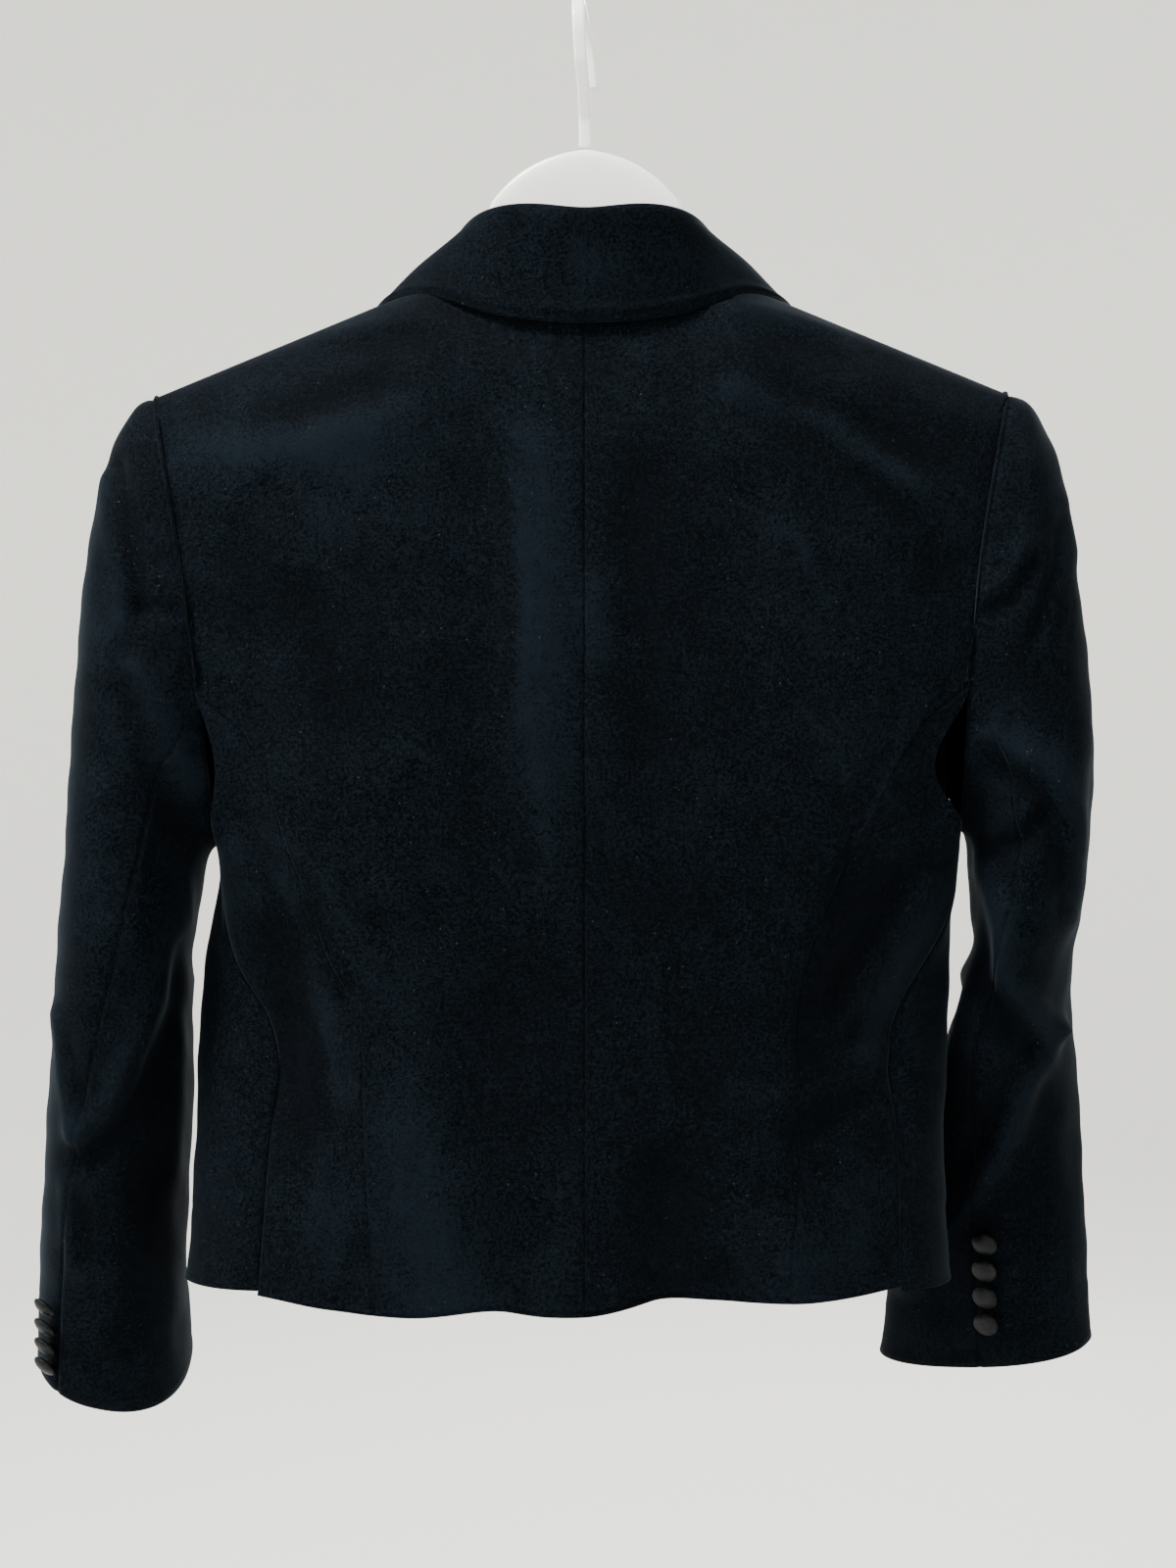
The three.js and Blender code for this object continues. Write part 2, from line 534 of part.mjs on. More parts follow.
function backPanels(side) {
  const princessTop = mix(BACK_TIP, 1, PRINCESS_ANGLE / 180);
  const neck = steps(4).map((t) => BACK_NECK * Math.sin(t * Math.PI / 2));
  const shoulder = steps(6).slice(1).map((t) => mix(BACK_NECK, BACK_TIP, t));
  const loopShare = (angle) => mix(BACK_TIP, 1, angle / 180);
  const armhole = angles(ARMHOLE_STEP, PRINCESS_ANGLE).map(loopShare);
  const underarm = angles(PRINCESS_ANGLE, 180).map(loopShare);
  const rows = panelRows(6, 14);
  const back = panel(
    `back_${side}`, side, false, rows, [...neck, ...shoulder, ...armhole],
    (column, z) => mix(gapShare(side, z), princessShare(side, z) - gapShare(side, z), column / princessTop),
    (column) => column,
  );
  const sideBack = panel(
    `side_back_${side}`, side, false, rows, underarm,
    (column, z) => mix(
      princessShare(side, z) + gapShare(side, z), 1 - gapShare(side, z),
      (column - princessTop) / (1 - princessTop),
    ),
    (column) => column,
  );
  return [back, sideBack];
}

function frontPanel(side) {
  const armhole = angles(0, 180).map((angle) => FRONT_TIP * angle / 180);
  const shoulder = steps(6).slice(1).map((t) => mix(FRONT_TIP, 1, t));
  return panel(
    `front_${side}`, side, true, panelRows(6, 14), [...armhole, ...shoulder],
    (column, z) => Math.max(column, gapShare(side, z)),
    (column) => column,
  );
}

// Share of the front at which it has a given distance from the centre line, at a height.
function frontShareAt(side, x, z) {
  let low = FRONT_TIP;
  let high = 1;
  for (let i = 0; i < 24; i += 1) {
    const middle = (low + high) / 2;
    const reach = Math.abs(frontPoint(side, middle, z).x);
    if (reach > x) {
      low = middle;
    } else {
      high = middle;
    }
  }
  return low;
}

// The turned back cloth lies on the front, its points moved out by the wall and a small gap.
function lapel(side) {
  const columns = steps(6);
  return sheet(`lapel_${side}`, LAPEL_HEIGHTS.length, columns.length, (i, j) => {
    const z = LAPEL_HEIGHTS[i];
    const edge = Math.abs(frontPoint(side, 1, z).x);
    const reach = readTable(LAPEL, 'z', 'reach', z);
    const share = frontShareAt(side, edge + LAPEL_INSET + reach * columns[j], z);
    const point = frontPoint(side, share, z);
    const normal = panelNormal(frontPoint, frontTop, side, share, z);
    const puff = LAPEL_PUFF * (1 - columns[j]) ** 2;
    return { point: point.addScaledVector(normal, CLOTH + LYING_GAP + puff), normal };
  });
}

// Foot of the collar's stand: just above the back neckline, then just inside the roll line.
function collarFoot(side, at) {
  const mirror = side === 'left' ? 1 : -1;
  if (at <= COLLAR_SIDE) {
    const top = backTop(side, BACK_NECK * Math.sin(at / COLLAR_SIDE * Math.PI / 2));
    return new THREE.Vector3(mirror * (top.x - COLLAR_FOOT.inward), top.y, top.z + COLLAR_FOOT.up);
  }
  const z = mix(NECK.z, COLLAR_END_Z, (at - COLLAR_SIDE) / (1 - COLLAR_SIDE));
  const point = frontPoint(side, 1, z);
  return new THREE.Vector3(point.x - mirror * COLLAR_FOOT.edge, point.y, z + COLLAR_FOOT.up);
}

// Lower edge of the fall, lying on the back, the shoulder and the front.
function fallEdge(side, at) {
  const share = readTable(COLLAR, 'at', 'share', at);
  const drop = readTable(COLLAR, 'at', 'drop', at);
  const isBack = at <= COLLAR_SIDE;
  const surface = isBack ? backPoint : frontPoint;
  const top = isBack ? backTop : frontTop;
  const across = isBack ? share : frontFallShare(at);
  const z = top(side, across).z - Math.max(drop, 0);
  const normal = panelNormal(surface, top, side, across, z);
  return surface(side, across, z).addScaledVector(normal, COLLAR_CLOTH + LYING_GAP);
}

// The fall's edge crosses the shoulder seam at the same place on the back and on the front.
function frontFallShare(at) {
  const backShare = readTable(COLLAR, 'at', 'share', COLLAR_SIDE);
  const along = (backShare - BACK_NECK) / (BACK_TIP - BACK_NECK);
  const start = mix(1, FRONT_TIP, along);
  return mix(start, COLLAR[COLLAR.length - 1].share, ease((at - COLLAR_SIDE) / (1 - COLLAR_SIDE)));
}

// Point of the folded collar: at runs round the neck, up runs from foot over roll to fall's edge.
function collarPoint(around, up) {
  const side = around >= 0 ? 'left' : 'right';
  const mirror = around >= 0 ? 1 : -1;
  const at = Math.min(Math.abs(around), 1);
  const column = (name) => readTable(COLLAR, 'at', name, at);
  const foot = collarFoot(side, at);
  const edge = fallEdge(side, at);
  const roll = new THREE.Vector3(mirror * column('rollX'), column('rollY'), column('rollZ'));
  const out = new THREE.Vector3(edge.x - foot.x, edge.y - foot.y, 0).normalize();
  const form = COLLAR_ROLL;
  const lowered = roll.clone().setZ(roll.z - form.drop);
  const halfway = roll.clone().lerp(edge, 0.5);
  const keys = [
    foot,
    foot.clone().lerp(roll, form.standShare).addScaledVector(out, -form.stand),
    lowered.clone().addScaledVector(out, -form.inside),
    roll.clone(),
    lowered.clone().addScaledVector(out, form.outside),
    halfway.setZ(halfway.z + form.fallUp).addScaledVector(out, form.fallOut),
    edge,
  ];
  const place = clamp(up, 0, 1) * (keys.length - 1);
  const index = Math.min(Math.floor(place), keys.length - 2);
  const share = place - index;
  const key = (i) => keys[clamp(i, 0, keys.length - 1)];
  const along = (axis) => passThrough(
    key(index - 1)[axis], key(index)[axis], key(index + 1)[axis], key(index + 2)[axis], share,
  );
  return new THREE.Vector3(along('x'), along('y'), along('z'));
}

function collar() {
  const around = steps(36).map((t) => mix(-1, 1, t));
  const up = [0, 0.16, 0.28, 0.36, 0.43, 0.5, 0.57, 0.65, 0.75, 0.87, 1];
  return sheet('collar', around.length, up.length, (i, j) => {
    const stepAround = 0.012;
    const stepUp = 0.012;
    const a = clamp(around[i], -1 + stepAround, 1 - stepAround);
    const b = clamp(up[j], stepUp, 1 - stepUp);
    const normal = normalOf(collarPoint, a, b, stepAround, stepUp);
    return { point: collarPoint(around[i], up[j]), normal: normal.negate() };
  }, COLLAR_CLOTH);
}

// Point of a sleeve: along runs over the table's rows, angle runs round from the outer point
// over the back of the arm.
function sleevePoint(side, along, angle) {
  const rows = SLEEVE[side].map((row, index) => ({ ...row, index }));
  const column = (name) => readTable(rows, 'index', name, along);
  const middle = ['X', 'Y', 'Z'].map((axis) => (column(`out${axis}`) + column(`in${axis}`)) / 2);
  const reach = ['X', 'Y', 'Z'].map((axis) => (column(`out${axis}`) - column(`in${axis}`)) / 2);
  const square = mix(2, PLUMP, clamp(along / 4, 0, 1));
  const rounded = (value) => Math.sign(value) * Math.abs(value) ** (2 / square);
  const cos = rounded(Math.cos(angle));
  const sin = rounded(Math.sin(angle));
  const turn = radians(column('turn'));
  const half = column('half');
  const hollow = ARMHOLE[side].hollow * Math.sin(angle) ** 2 * clamp(1 - along, 0, 1);
  const x = middle[0] + reach[0] * cos - half * sin * Math.sin(turn) - hollow;
  const y = middle[1] + reach[1] * cos + half * sin * Math.cos(turn);
  const z = middle[2] + reach[2] * cos - column('tilt') * sin;
  const mirror = side === 'left' ? 1 : -1;
  return new THREE.Vector3(mirror * (x + ARMHOLE_GAP), y, z);
}

function sleeveNormal(side, along, angle) {
  const last = SLEEVE[side].length - 1;
  const step = 0.02;
  const inner = clamp(along, step, last - step);
  const normal = normalOf((a, b) => sleevePoint(side, a, b), inner, angle, step, 0.02);
  const middle = sleevePoint(side, inner, 0).add(sleevePoint(side, inner, Math.PI)).multiplyScalar(0.5);
  const outward = sleevePoint(side, inner, angle).sub(middle);
  if (normal.dot(outward) < 0) {
    normal.negate();
  }
  // At the armhole the wall never leans into the body.
  const mirror = side === 'left' ? 1 : -1;
  if (along === 0) {
    normal.x = mirror * Math.min(normal.x * mirror, 0);
  }
  return normal.normalize();
}

function sleevePiece(name, side, rowCount, columnCount, startAt, endAt) {
  const last = SLEEVE[side].length - 1;
  return sheet(name, rowCount, columnCount, (i, j) => {
    const along = last * i / (rowCount - 1);
    const angle = mix(startAt(along), endAt(along), j / (columnCount - 1));
    return { point: sleevePoint(side, along, angle), normal: sleeveNormal(side, along, angle) };
  });
}

function sleeves(side) {
  const rows = SLEEVE[side].map((row, index) => ({ ...row, index }));
  const gap = SEAM_GAP / 2 / SLEEVE_RADIUS;
  const hind = (along) => radians(readTable(rows, 'index', 'hind', along));
  const inseam = radians(INSEAM);
  const upper = sleevePiece(
    `upper_sleeve_${side}`, side, 19, 17, () => inseam + gap, (along) => hind(along) - gap,
  );
  const under = sleevePiece(
    `under_sleeve_${side}`, side, 19, 9, (along) => hind(along) + gap, () => 2 * Math.PI + inseam - gap,
  );
  return [upper, under];
}

// Covered button: a domed disc turned about its own axis, its flat back at height zero.
function buttonGeometry(radius, thick) {
  const dome = steps(4).map((t) => {
    const angle = mix(-0.25, 1, t) * Math.PI / 2;
    return new THREE.Vector2(
      Math.max(radius * Math.cos(angle), 0),
      thick * (0.35 + 0.65 * Math.sin(Math.max(angle, 0))) + Math.min(angle, 0) * thick * 0.5,
    );
  });
  dome[dome.length - 1].x = 0;
  const profile = [new THREE.Vector2(0, 0), new THREE.Vector2(radius * BUTTON_FOOT, 0), ...dome];
  return closedLathe(profile, 14);
}

// Solid of revolution about +Z from a profile that starts and ends on the axis.
function closedLathe(profile, sides) {
  const positions = [0, 0, profile[0].y];
  const faces = [];
  const rings = profile.slice(1, -1);
  for (const ring of rings) {
    for (let k = 0; k < sides; k += 1) {
      const angle = 2 * Math.PI * k / sides;
      positions.push(ring.x * Math.cos(angle), ring.x * Math.sin(angle), ring.y);
    }
  }
  const apex = positions.length / 3;
  positions.push(0, 0, profile[profile.length - 1].y);
  const at = (ring, k) => 1 + ring * sides + k % sides;
  for (let k = 0; k < sides; k += 1) {
    faces.push(0, at(0, k + 1), at(0, k));
    for (let ring = 0; ring < rings.length - 1; ring += 1) {
      faces.push(at(ring, k), at(ring, k + 1), at(ring + 1, k + 1));
      faces.push(at(ring, k), at(ring + 1, k + 1), at(ring + 1, k));
    }
    faces.push(at(rings.length - 1, k), at(rings.length - 1, k + 1), apex);
  }
  const geometry = new THREE.BufferGeometry();
  geometry.setAttribute('position', new THREE.Float32BufferAttribute(positions, 3));
  geometry.setIndex(faces);
  geometry.computeVertexNormals();
  return geometry;
}

// Place a button with its back just off a surface, its axis leaning from the surface's normal.
function seatButton(name, button, point, normal, downward, leanDegrees) {
  const mesh = piece(name, buttonGeometry(button.radius, button.thick), SATIN);
  const lean = radians(leanDegrees);
  const axis = normal.clone().multiplyScalar(Math.cos(lean)).addScaledVector(downward, Math.sin(lean));
  mesh.quaternion.setFromUnitVectors(new THREE.Vector3(0, 0, 1), axis.normalize());
  const stand = button.stand + button.radius * BUTTON_FOOT * Math.sin(lean);
  mesh.position.copy(point).addScaledVector(normal, stand);
  return mesh;
}

// How far along the sleeve's table a height is reached at an angle.
function sleeveAlongAt(side, z, angle) {
  let low = 4;
  let high = SLEEVE[side].length - 1;
  for (let i = 0; i < 24; i += 1) {
    const middle = (low + high) / 2;
    if (sleevePoint(side, middle, angle).z > z) {
      low = middle;
    } else {
      high = middle;
    }
  }
  return low;
}

function cuffButtons(side) {
  const rows = SLEEVE[side].map((row, index) => ({ ...row, index }));
  const row = CUFF_ROW[side];
  return Array.from({ length: CUFF_BUTTON.count }, (_, k) => {
    const hind = readTable(rows, 'index', 'hind', SLEEVE[side].length - 1.5);
    const angle = radians(hind + row.hindOffset);
    const along = sleeveAlongAt(side, row.firstZ - row.pitch * k, angle);
    const point = sleevePoint(side, along, angle);
    const normal = sleeveNormal(side, along, angle);
    const downward = sleevePoint(side, along + 0.05, angle).sub(point).normalize();
    return seatButton(`cuff_button_${side}_${k + 1}`, CUFF_BUTTON, point, normal, downward, row.lean);
  });
}

function frontButton() {
  const share = frontShareAt('right', 0.5, FRONT_BUTTON.z);
  const point = frontPoint('right', share, FRONT_BUTTON.z);
  const normal = panelNormal(frontPoint, frontTop, 'right', share, FRONT_BUTTON.z);
  const down = new THREE.Vector3(0, 0, -1);
  return seatButton('front_button', FRONT_BUTTON, point, normal, down, 0);
}

// Hanger plate, drawn in the plane of the shoulders and given its thickness with a bevel.
function hangerBody() {
  const armEnd = (side) => {
    const hole = ARMHOLE[side];
    const share = 1 - HANGER.tipShort / (hole.tipX - NECK.halfWidth);
    const tip = shoulderPoint(side, share, 1);
    return { x: tip.x, z: tip.z - HANGER.underCloth - HANGER.bevel };
  };
  const left = armEnd('left');
  const right = armEnd('right');
  const neckX = NECK.halfWidth - HANGER.neckInside;
  const neckZ = NECK.z - HANGER.underCloth - HANGER.bevel;
  const archPullZ = HANGER.topZ - HANGER.archPullDrop;
  const shape = new THREE.Shape();
  shape.moveTo(0, HANGER.topZ);
  const curve = (pullX, pullZ, x, z) => shape.quadraticCurveTo(pullX, pullZ, x, z);
  curve(HANGER.archPullX, archPullZ, HANGER.archX, HANGER.archZ);
  curve(HANGER.neckPullX, HANGER.neckPullZ, neckX, neckZ);
  shape.lineTo(left.x, left.z);
  const tipZ = (end) => end.z - HANGER.tipDrop;
  curve(left.x + HANGER.tipPull, left.z - HANGER.tipDrop / 2, left.x - HANGER.tipUnder, tipZ(left));
  curve(HANGER.armPullX, HANGER.armPullZ, HANGER.neckUnderX, HANGER.neckUnderZ);
  curve(HANGER.middlePullX, HANGER.middleUnderZ, 0, HANGER.middleUnderZ);
  curve(-HANGER.middlePullX, HANGER.middleUnderZ, -HANGER.neckUnderX, HANGER.neckUnderZ);
  curve(-HANGER.armPullX, HANGER.armPullZ, HANGER.tipUnder - right.x, tipZ(right));
  curve(-right.x - HANGER.tipPull, right.z - HANGER.tipDrop / 2, -right.x, right.z);
  shape.lineTo(-neckX, neckZ);
  curve(-HANGER.neckPullX, HANGER.neckPullZ, -HANGER.archX, HANGER.archZ);
  curve(-HANGER.archPullX, archPullZ, 0, HANGER.topZ);
  const flat = HANGER.thick - 2 * HANGER.bevel;
  const geometry = new THREE.ExtrudeGeometry(shape, {
    depth: flat, bevelEnabled: true, bevelThickness: HANGER.bevel, bevelSize: HANGER.bevel,
    bevelOffset: 0, bevelSegments: 2, curveSegments: 7,
  });
  geometry.translate(0, 0, -flat / 2);
  geometry.rotateX(Math.PI / 2);
  return piece('hanger_body', geometry, WHITE);
}

// Flat hook: a strip that rises from the hanger, bends over the rail and ends behind it.
function hangerHook() {
  const middle = HOOK.insideRadius + HOOK.thick / 2;
  const axisZ = -HOOK.insideRadius;
  const path = [...HOOK.stem];
  for (const t of steps(10)) {
    const angle = Math.PI * t;
    path.push({
      x: mix(HOOK.bendFromX, HOOK.bendToX, t) + HOOK.drift * Math.sin(angle),
      y: middle * Math.cos(angle),
      z: axisZ + middle * Math.sin(angle),
    });
  }
  path.push({ x: HOOK.endX, y: -middle, z: HOOK.endZ });
  const rowsOut = [];
  const rowsIn = [];
  path.forEach((point, i) => {
    const before = path[Math.max(i - 1, 0)];
    const after = path[Math.min(i + 1, path.length - 1)];
    const length = Math.hypot(after.y - before.y, after.z - before.z);
    const normalY = (after.z - before.z) / length * HOOK.thick / 2;
    const normalZ = -(after.y - before.y) / length * HOOK.thick / 2;
    const corner = (half, sign) => new THREE.Vector3(
      point.x + half, point.y + sign * normalY, point.z + sign * normalZ,
    );
    rowsOut.push([corner(-HOOK.width / 2, 1), corner(0, 1), corner(HOOK.width / 2, 1)]);
    rowsIn.push([corner(-HOOK.width / 2, -1), corner(0, -1), corner(HOOK.width / 2, -1)]);
  });
  return piece('hanger_hook', wallGeometry(rowsOut, rowsIn), WHITE);
}

const blazer = new THREE.Group();
for (const side of ['left', 'right']) {
  blazer.add(...backPanels(side), frontPanel(side), lapel(side), ...sleeves(side), ...cuffButtons(side));
}
blazer.add(collar(), frontButton(), hangerBody(), hangerHook());

export default blazer;
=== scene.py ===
import math

import bpy
import numpy as np
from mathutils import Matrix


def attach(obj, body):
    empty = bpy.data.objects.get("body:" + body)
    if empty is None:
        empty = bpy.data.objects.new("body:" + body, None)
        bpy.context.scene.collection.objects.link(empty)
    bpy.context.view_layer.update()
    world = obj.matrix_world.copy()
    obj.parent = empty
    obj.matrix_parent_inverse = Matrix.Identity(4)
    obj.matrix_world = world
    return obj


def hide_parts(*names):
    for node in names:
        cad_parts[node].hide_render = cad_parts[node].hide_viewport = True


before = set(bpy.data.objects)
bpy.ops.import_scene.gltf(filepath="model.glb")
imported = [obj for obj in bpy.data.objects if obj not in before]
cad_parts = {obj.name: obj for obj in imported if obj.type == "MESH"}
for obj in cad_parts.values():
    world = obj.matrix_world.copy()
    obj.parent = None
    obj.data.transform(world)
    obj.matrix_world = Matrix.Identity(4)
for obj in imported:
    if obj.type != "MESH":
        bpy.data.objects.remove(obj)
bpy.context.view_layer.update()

# All tables below are in millimetres and become metres when a mesh is made.
MM = 0.001
CLOTH = 2.0
COLLAR_CLOTH = 1.8
# Sewn edges meet, so they reach this little past each other.
SEAM_GAP = -0.12
LYING_GAP = 0.6
ARMHOLE_GAP = -0.1

NECK = dict(half_width=70, z=-133, back_depth=38, back_drop=14)
FRONT = dict(roll_x=6, roll_z=-455, overlap=-14, overlap_z=-474, layer=3.2)
RIDGE = dict(neck=55, tip=105, underarm=60)
SETTLE = 120
BACK_NECK, BACK_TIP, FRONT_TIP = 0.32, 0.78, 0.4
FRONT_SQUARENESS = 2.6
ARMHOLE = dict(
    left=dict(tip_x=206, tip_z=-189, base_x=173, base_z=-400, depth=48, hollow=5),
    right=dict(tip_x=202, tip_z=-187, base_x=178, base_z=-394, depth=48, hollow=9),
)

# Body sections, a row for each height: the side seam in the valley of the drag fold, depths of
# back and front at the centre, how square the back bends to the seam, the widest place, and
# the share of the front that lies between seam and side.
BODY_COLUMNS = ("z", "seam_x", "seam_y", "back", "bend", "side_x", "side_y", "front", "gusset")
BODY = dict(
    left=[
        (-130, 190, 38, 44, 3, 182, 0, 40, 0.02),
        (-189, 190, 40, 50, 3, 182, -2, 52, 0.02),
        (-240, 188, 40, 57, 3.5, 181, -4, 60, 0.02),
        (-300, 184, 35, 62, 4.5, 180, -4, 66, 0.02),
        (-360, 178, 20, 64, 7, 177, -4, 68, 0.02),
        (-400, 173, 26, 63, 6, 176, -4, 67, 0.02),
        (-425, 165, 22, 61, 7, 181, -7, 66, 0.1),
        (-455, 157, 20, 59, 8, 185, -8, 64, 0.18),
        (-485, 142, 26, 57, 7, 187, -8, 62, 0.22),
        (-540, 147, 36, 58, 5, 188, -6, 63, 0.22),
        (-625, 153, 43, 60, 4.5, 193, -4, 64, 0.22),
    ],
    right=[
        (-130, 188, 38, 44, 3, 184, 0, 40, 0.02),
        (-189, 188, 40, 50, 3, 184, -2, 52, 0.02),
        (-240, 186, 40, 57, 3.5, 183, -4, 60, 0.02),
        (-300, 184, 35, 62, 4.5, 182, -4, 66, 0.02),
        (-360, 181, 20, 64, 7, 181, -4, 68, 0.02),
        (-394, 178, 20, 63, 7, 180, -4, 67, 0.02),
        (-425, 162, 22, 61, 7, 179, -7, 66, 0.1),
        (-460, 144, 24, 59, 7, 178, -8, 64, 0.18),
        (-485, 139, 28, 57, 6, 176, -8, 62, 0.22),
        (-540, 146, 36, 58, 5, 173, -6, 63, 0.22),
        (-625, 147, 43, 60, 4.5, 176, -4, 64, 0.22),
    ],
)
PRINCESS_ANGLE = 105
PRINCESS_TOP = BACK_TIP + (1 - BACK_TIP) * PRINCESS_ANGLE / 180
PRINCESS_COLUMNS = ("z", "share")
PRINCESS = dict(
    left=[
        (-322, PRINCESS_TOP), (-345, 0.87), (-400, 0.8),
        (-476, 0.74), (-540, 0.69), (-625, 0.63),
    ],
    right=[
        (-322, PRINCESS_TOP), (-345, 0.85), (-375, 0.765), (-410, 0.705),
        (-476, 0.7), (-540, 0.68), (-625, 0.625),
    ],
)
HEM = dict(back=-616, side=-609, front=-613)
# The back's hem dips and rises a little: its height at places across.
HEM_COLUMNS = ("x", "z")
HEM_LINE = [
    (200, -611), (153, -611), (120, -615.5), (79, -618), (43, -614.5), (17, -618), (-14, -616.5),
    (-30, -611), (-46, -609.5), (-73, -611), (-113, -611.5), (-147, -607), (-200, -607),
]

# Sleeve rings from armhole to cuff: outer point, inner point, half depth, turn, tilt, hind seam.
SLEEVE_COLUMNS = (
    "out_x", "out_y", "out_z", "in_x", "in_y", "in_z", "half", "turn", "tilt", "hind", "index",
)
SLEEVE = dict(
    left=[
        (206, 0, -189, 173, 0, -400, 48, 0, 0, 120),
        (216, 0, -195, 175, 0, -402, 50, 0, 0, 118),
        (228, -2, -219, 178, -1, -404, 52, 0, 0, 117),
        (237, -4, -256, 181, -3, -407, 54, 0, 0, 115),
        (242, -6, -306, 184, -5, -414, 55, 0, 0, 112),
        (246, -8, -360, 187, -8, -428, 56, 0, 0, 107),
        (250, -9, -418, 190, -10, -452, 57, 0, 3, 98),
        (255, -12, -478, 191, -14, -492, 54, 0, 8, 85),
        (261, -21, -536, 193, -24, -542, 50, 0, 13, 70),
        (266, -32, -594, 197, -34, -600, 48, 0, 17, 63),
        (269, -42, -645, 196, -44, -660, 47, 0, 20, 58),
    ],
    right=[
        (202, 0, -187, 178, 0, -394, 48, 0, 0, 120),
        (213, 0, -193, 180, 0, -396, 50, 0, 0, 120),
        (224, -2, -216, 182, -1, -398, 52, 0, 0, 120),
        (232, -4, -252, 184, -3, -401, 54, 0, 0, 120),
        (239, -6, -304, 186, -5, -408, 56, 0, 0, 119),
        (243, -8, -360, 187, -8, -424, 57, 0, 2, 118),
        (241, -10, -418, 187, -18, -450, 54, 8, 6, 110),
        (234, -14, -478, 182, -34, -490, 46, 21, 8, 100),
        (236, -19, -536, 176, -60, -542, 37, 34, 9, 88),
        (241, -24, -594, 163, -85, -600, 31, 38, 9, 82),
        (246, -30, -648, 155, -96, -660, 28, 36, 8, 80),
    ],
)
INSEAM = -120
PLUMP = 2.3
# Mean radius of a sleeve, which turns a seam's gap into an angle.
SLEEVE_RADIUS = 45
# The turn-ups: how far up each is thick, and how far up its stitched line lies.
HEM_TURN_UP = dict(thick=30, line=33)
CUFF_TURN_UP = dict(thick=26, line=30)

COLLAR_COLUMNS = ("at", "roll_x", "roll_y", "roll_z", "share", "drop")
COLLAR = [
    (0, 0, 45, -110, 0, 14),
    (0.2, 26, 43, -106, 0.13, 13),
    (0.4, 48, 32, -107, 0.27, 11),
    (0.6, 60, 2, -113, 0.44, 0),
    (0.8, 68, -26, -130, 0.8, 17),
    (1, 67, -46, -158, 0.83, 29),
]
COLLAR_SIDE = 0.6
COLLAR_END_Z = -172
# The stand's foot clears the neckline and the front edge by these, and stands this far up.
COLLAR_FOOT = dict(inward=0.4, edge=0.8, up=0.6)
# Where the stand bulges and how far, how wide the roll is inside and outside and how far it
# drops there, and how far the fall stands up halfway.
COLLAR_ROLL = dict(stand_share=0.55, stand=1.5, inside=2.6, outside=3.6, drop=3.0, fall_up=2.2)
LAPEL_COLUMNS = ("z", "reach")
LAPEL_INSET, LAPEL_PUFF = 0.4, 2.2
LAPEL = [(-184, 34), (-200, 66), (-212, 80), (-300, 62), (-380, 38), (-448, 6)]

# Soft folds and creases of the back: route across x and z, width and height. Heights below
# zero are hollows.
BACK_FOLDS = [
    ("ridge beside the centre seam", [(27, -220), (19, -375)], 16, 4),
    ("left shoulder hollow", [(118, -166), (82, -164)], 9, -3),
    ("left blade ridge", [(158, -222), (88, -204)], 14, 3),
    ("right shoulder hollow", [(-60, -161), (-116, -167)], 9, -3),
    ("right blade hollow", [(-92, -196), (-155, -221)], 13, -3),
    ("left waist fold", [(134, -444), (126, -528)], 13, -5),
    ("right waist fold", [(-122, -420), (-100, -560)], 16, -4),
    ("hem flute left", [(75, -540), (62, -620)], 20, 4),
    ("hem flute right", [(-33, -560), (-38, -620)], 18, -5),
    ("hem flute far right", [(-92, -545), (-100, -620)], 20, 3),
]
BACK_CREASES = [
    ("left shoulder band", [(115, -161), (90, -157), (71, -158)], 5, 1.6),
    ("left drag hollow", [(131, -199), (100, -190)], 10, -2.2),
    ("right shoulder band", [(-52, -151), (-85, -152), (-116, -158)], 5, 1.8),
    ("right drag band", [(-66, -190), (-110, -205), (-150, -236)], 7, 1.8),
    ("right blade fold", [(-128, -232), (-168, -268)], 6, -1.6),
    ("left blade drag", [(160, -262), (120, -300), (112, -350)], 12, -2.0),
    ("centre patch", [(-7, -285), (-8, -310)], 9, 1.4),
    ("right of centre hollow", [(-24, -240), (-30, -360)], 13, -2.0),
    ("left of centre hollow", [(48, -230), (44, -400)], 15, -2.2),
    ("left diagonal", [(164, -408), (128, -452), (104, -520)], 7, 1.8),
    ("left diagonal hollow", [(150, -420), (112, -470)], 7, -2.2),
    ("left hip crease", [(128, -500), (120, -545), (124, -580)], 5, 1.5),
    ("right diagonal", [(-160, -422), (-128, -466), (-116, -500)], 6, 1.8),
    ("right diagonal hollow", [(-146, -418), (-112, -470)], 8, -2.4),
    ("right hip drag", [(-136, -500), (-104, -520), (-70, -516)], 8, 1.6),
    ("right hip hollow", [(-132, -520), (-98, -538)], 7, -1.5),
    ("small back waist crease", [(-34, -452), (-34, -496)], 4, 0.9),
    ("low left sag", [(30, -470), (60, -540)], 16, -1.8),
    ("hem ripple", [(12, -590), (20, -618)], 9, 1.6),
    ("hem ripple right", [(-64, -596), (-66, -618)], 8, -1.8),
    ("hem ripple left", [(104, -590), (112, -618)], 9, -1.8),
]
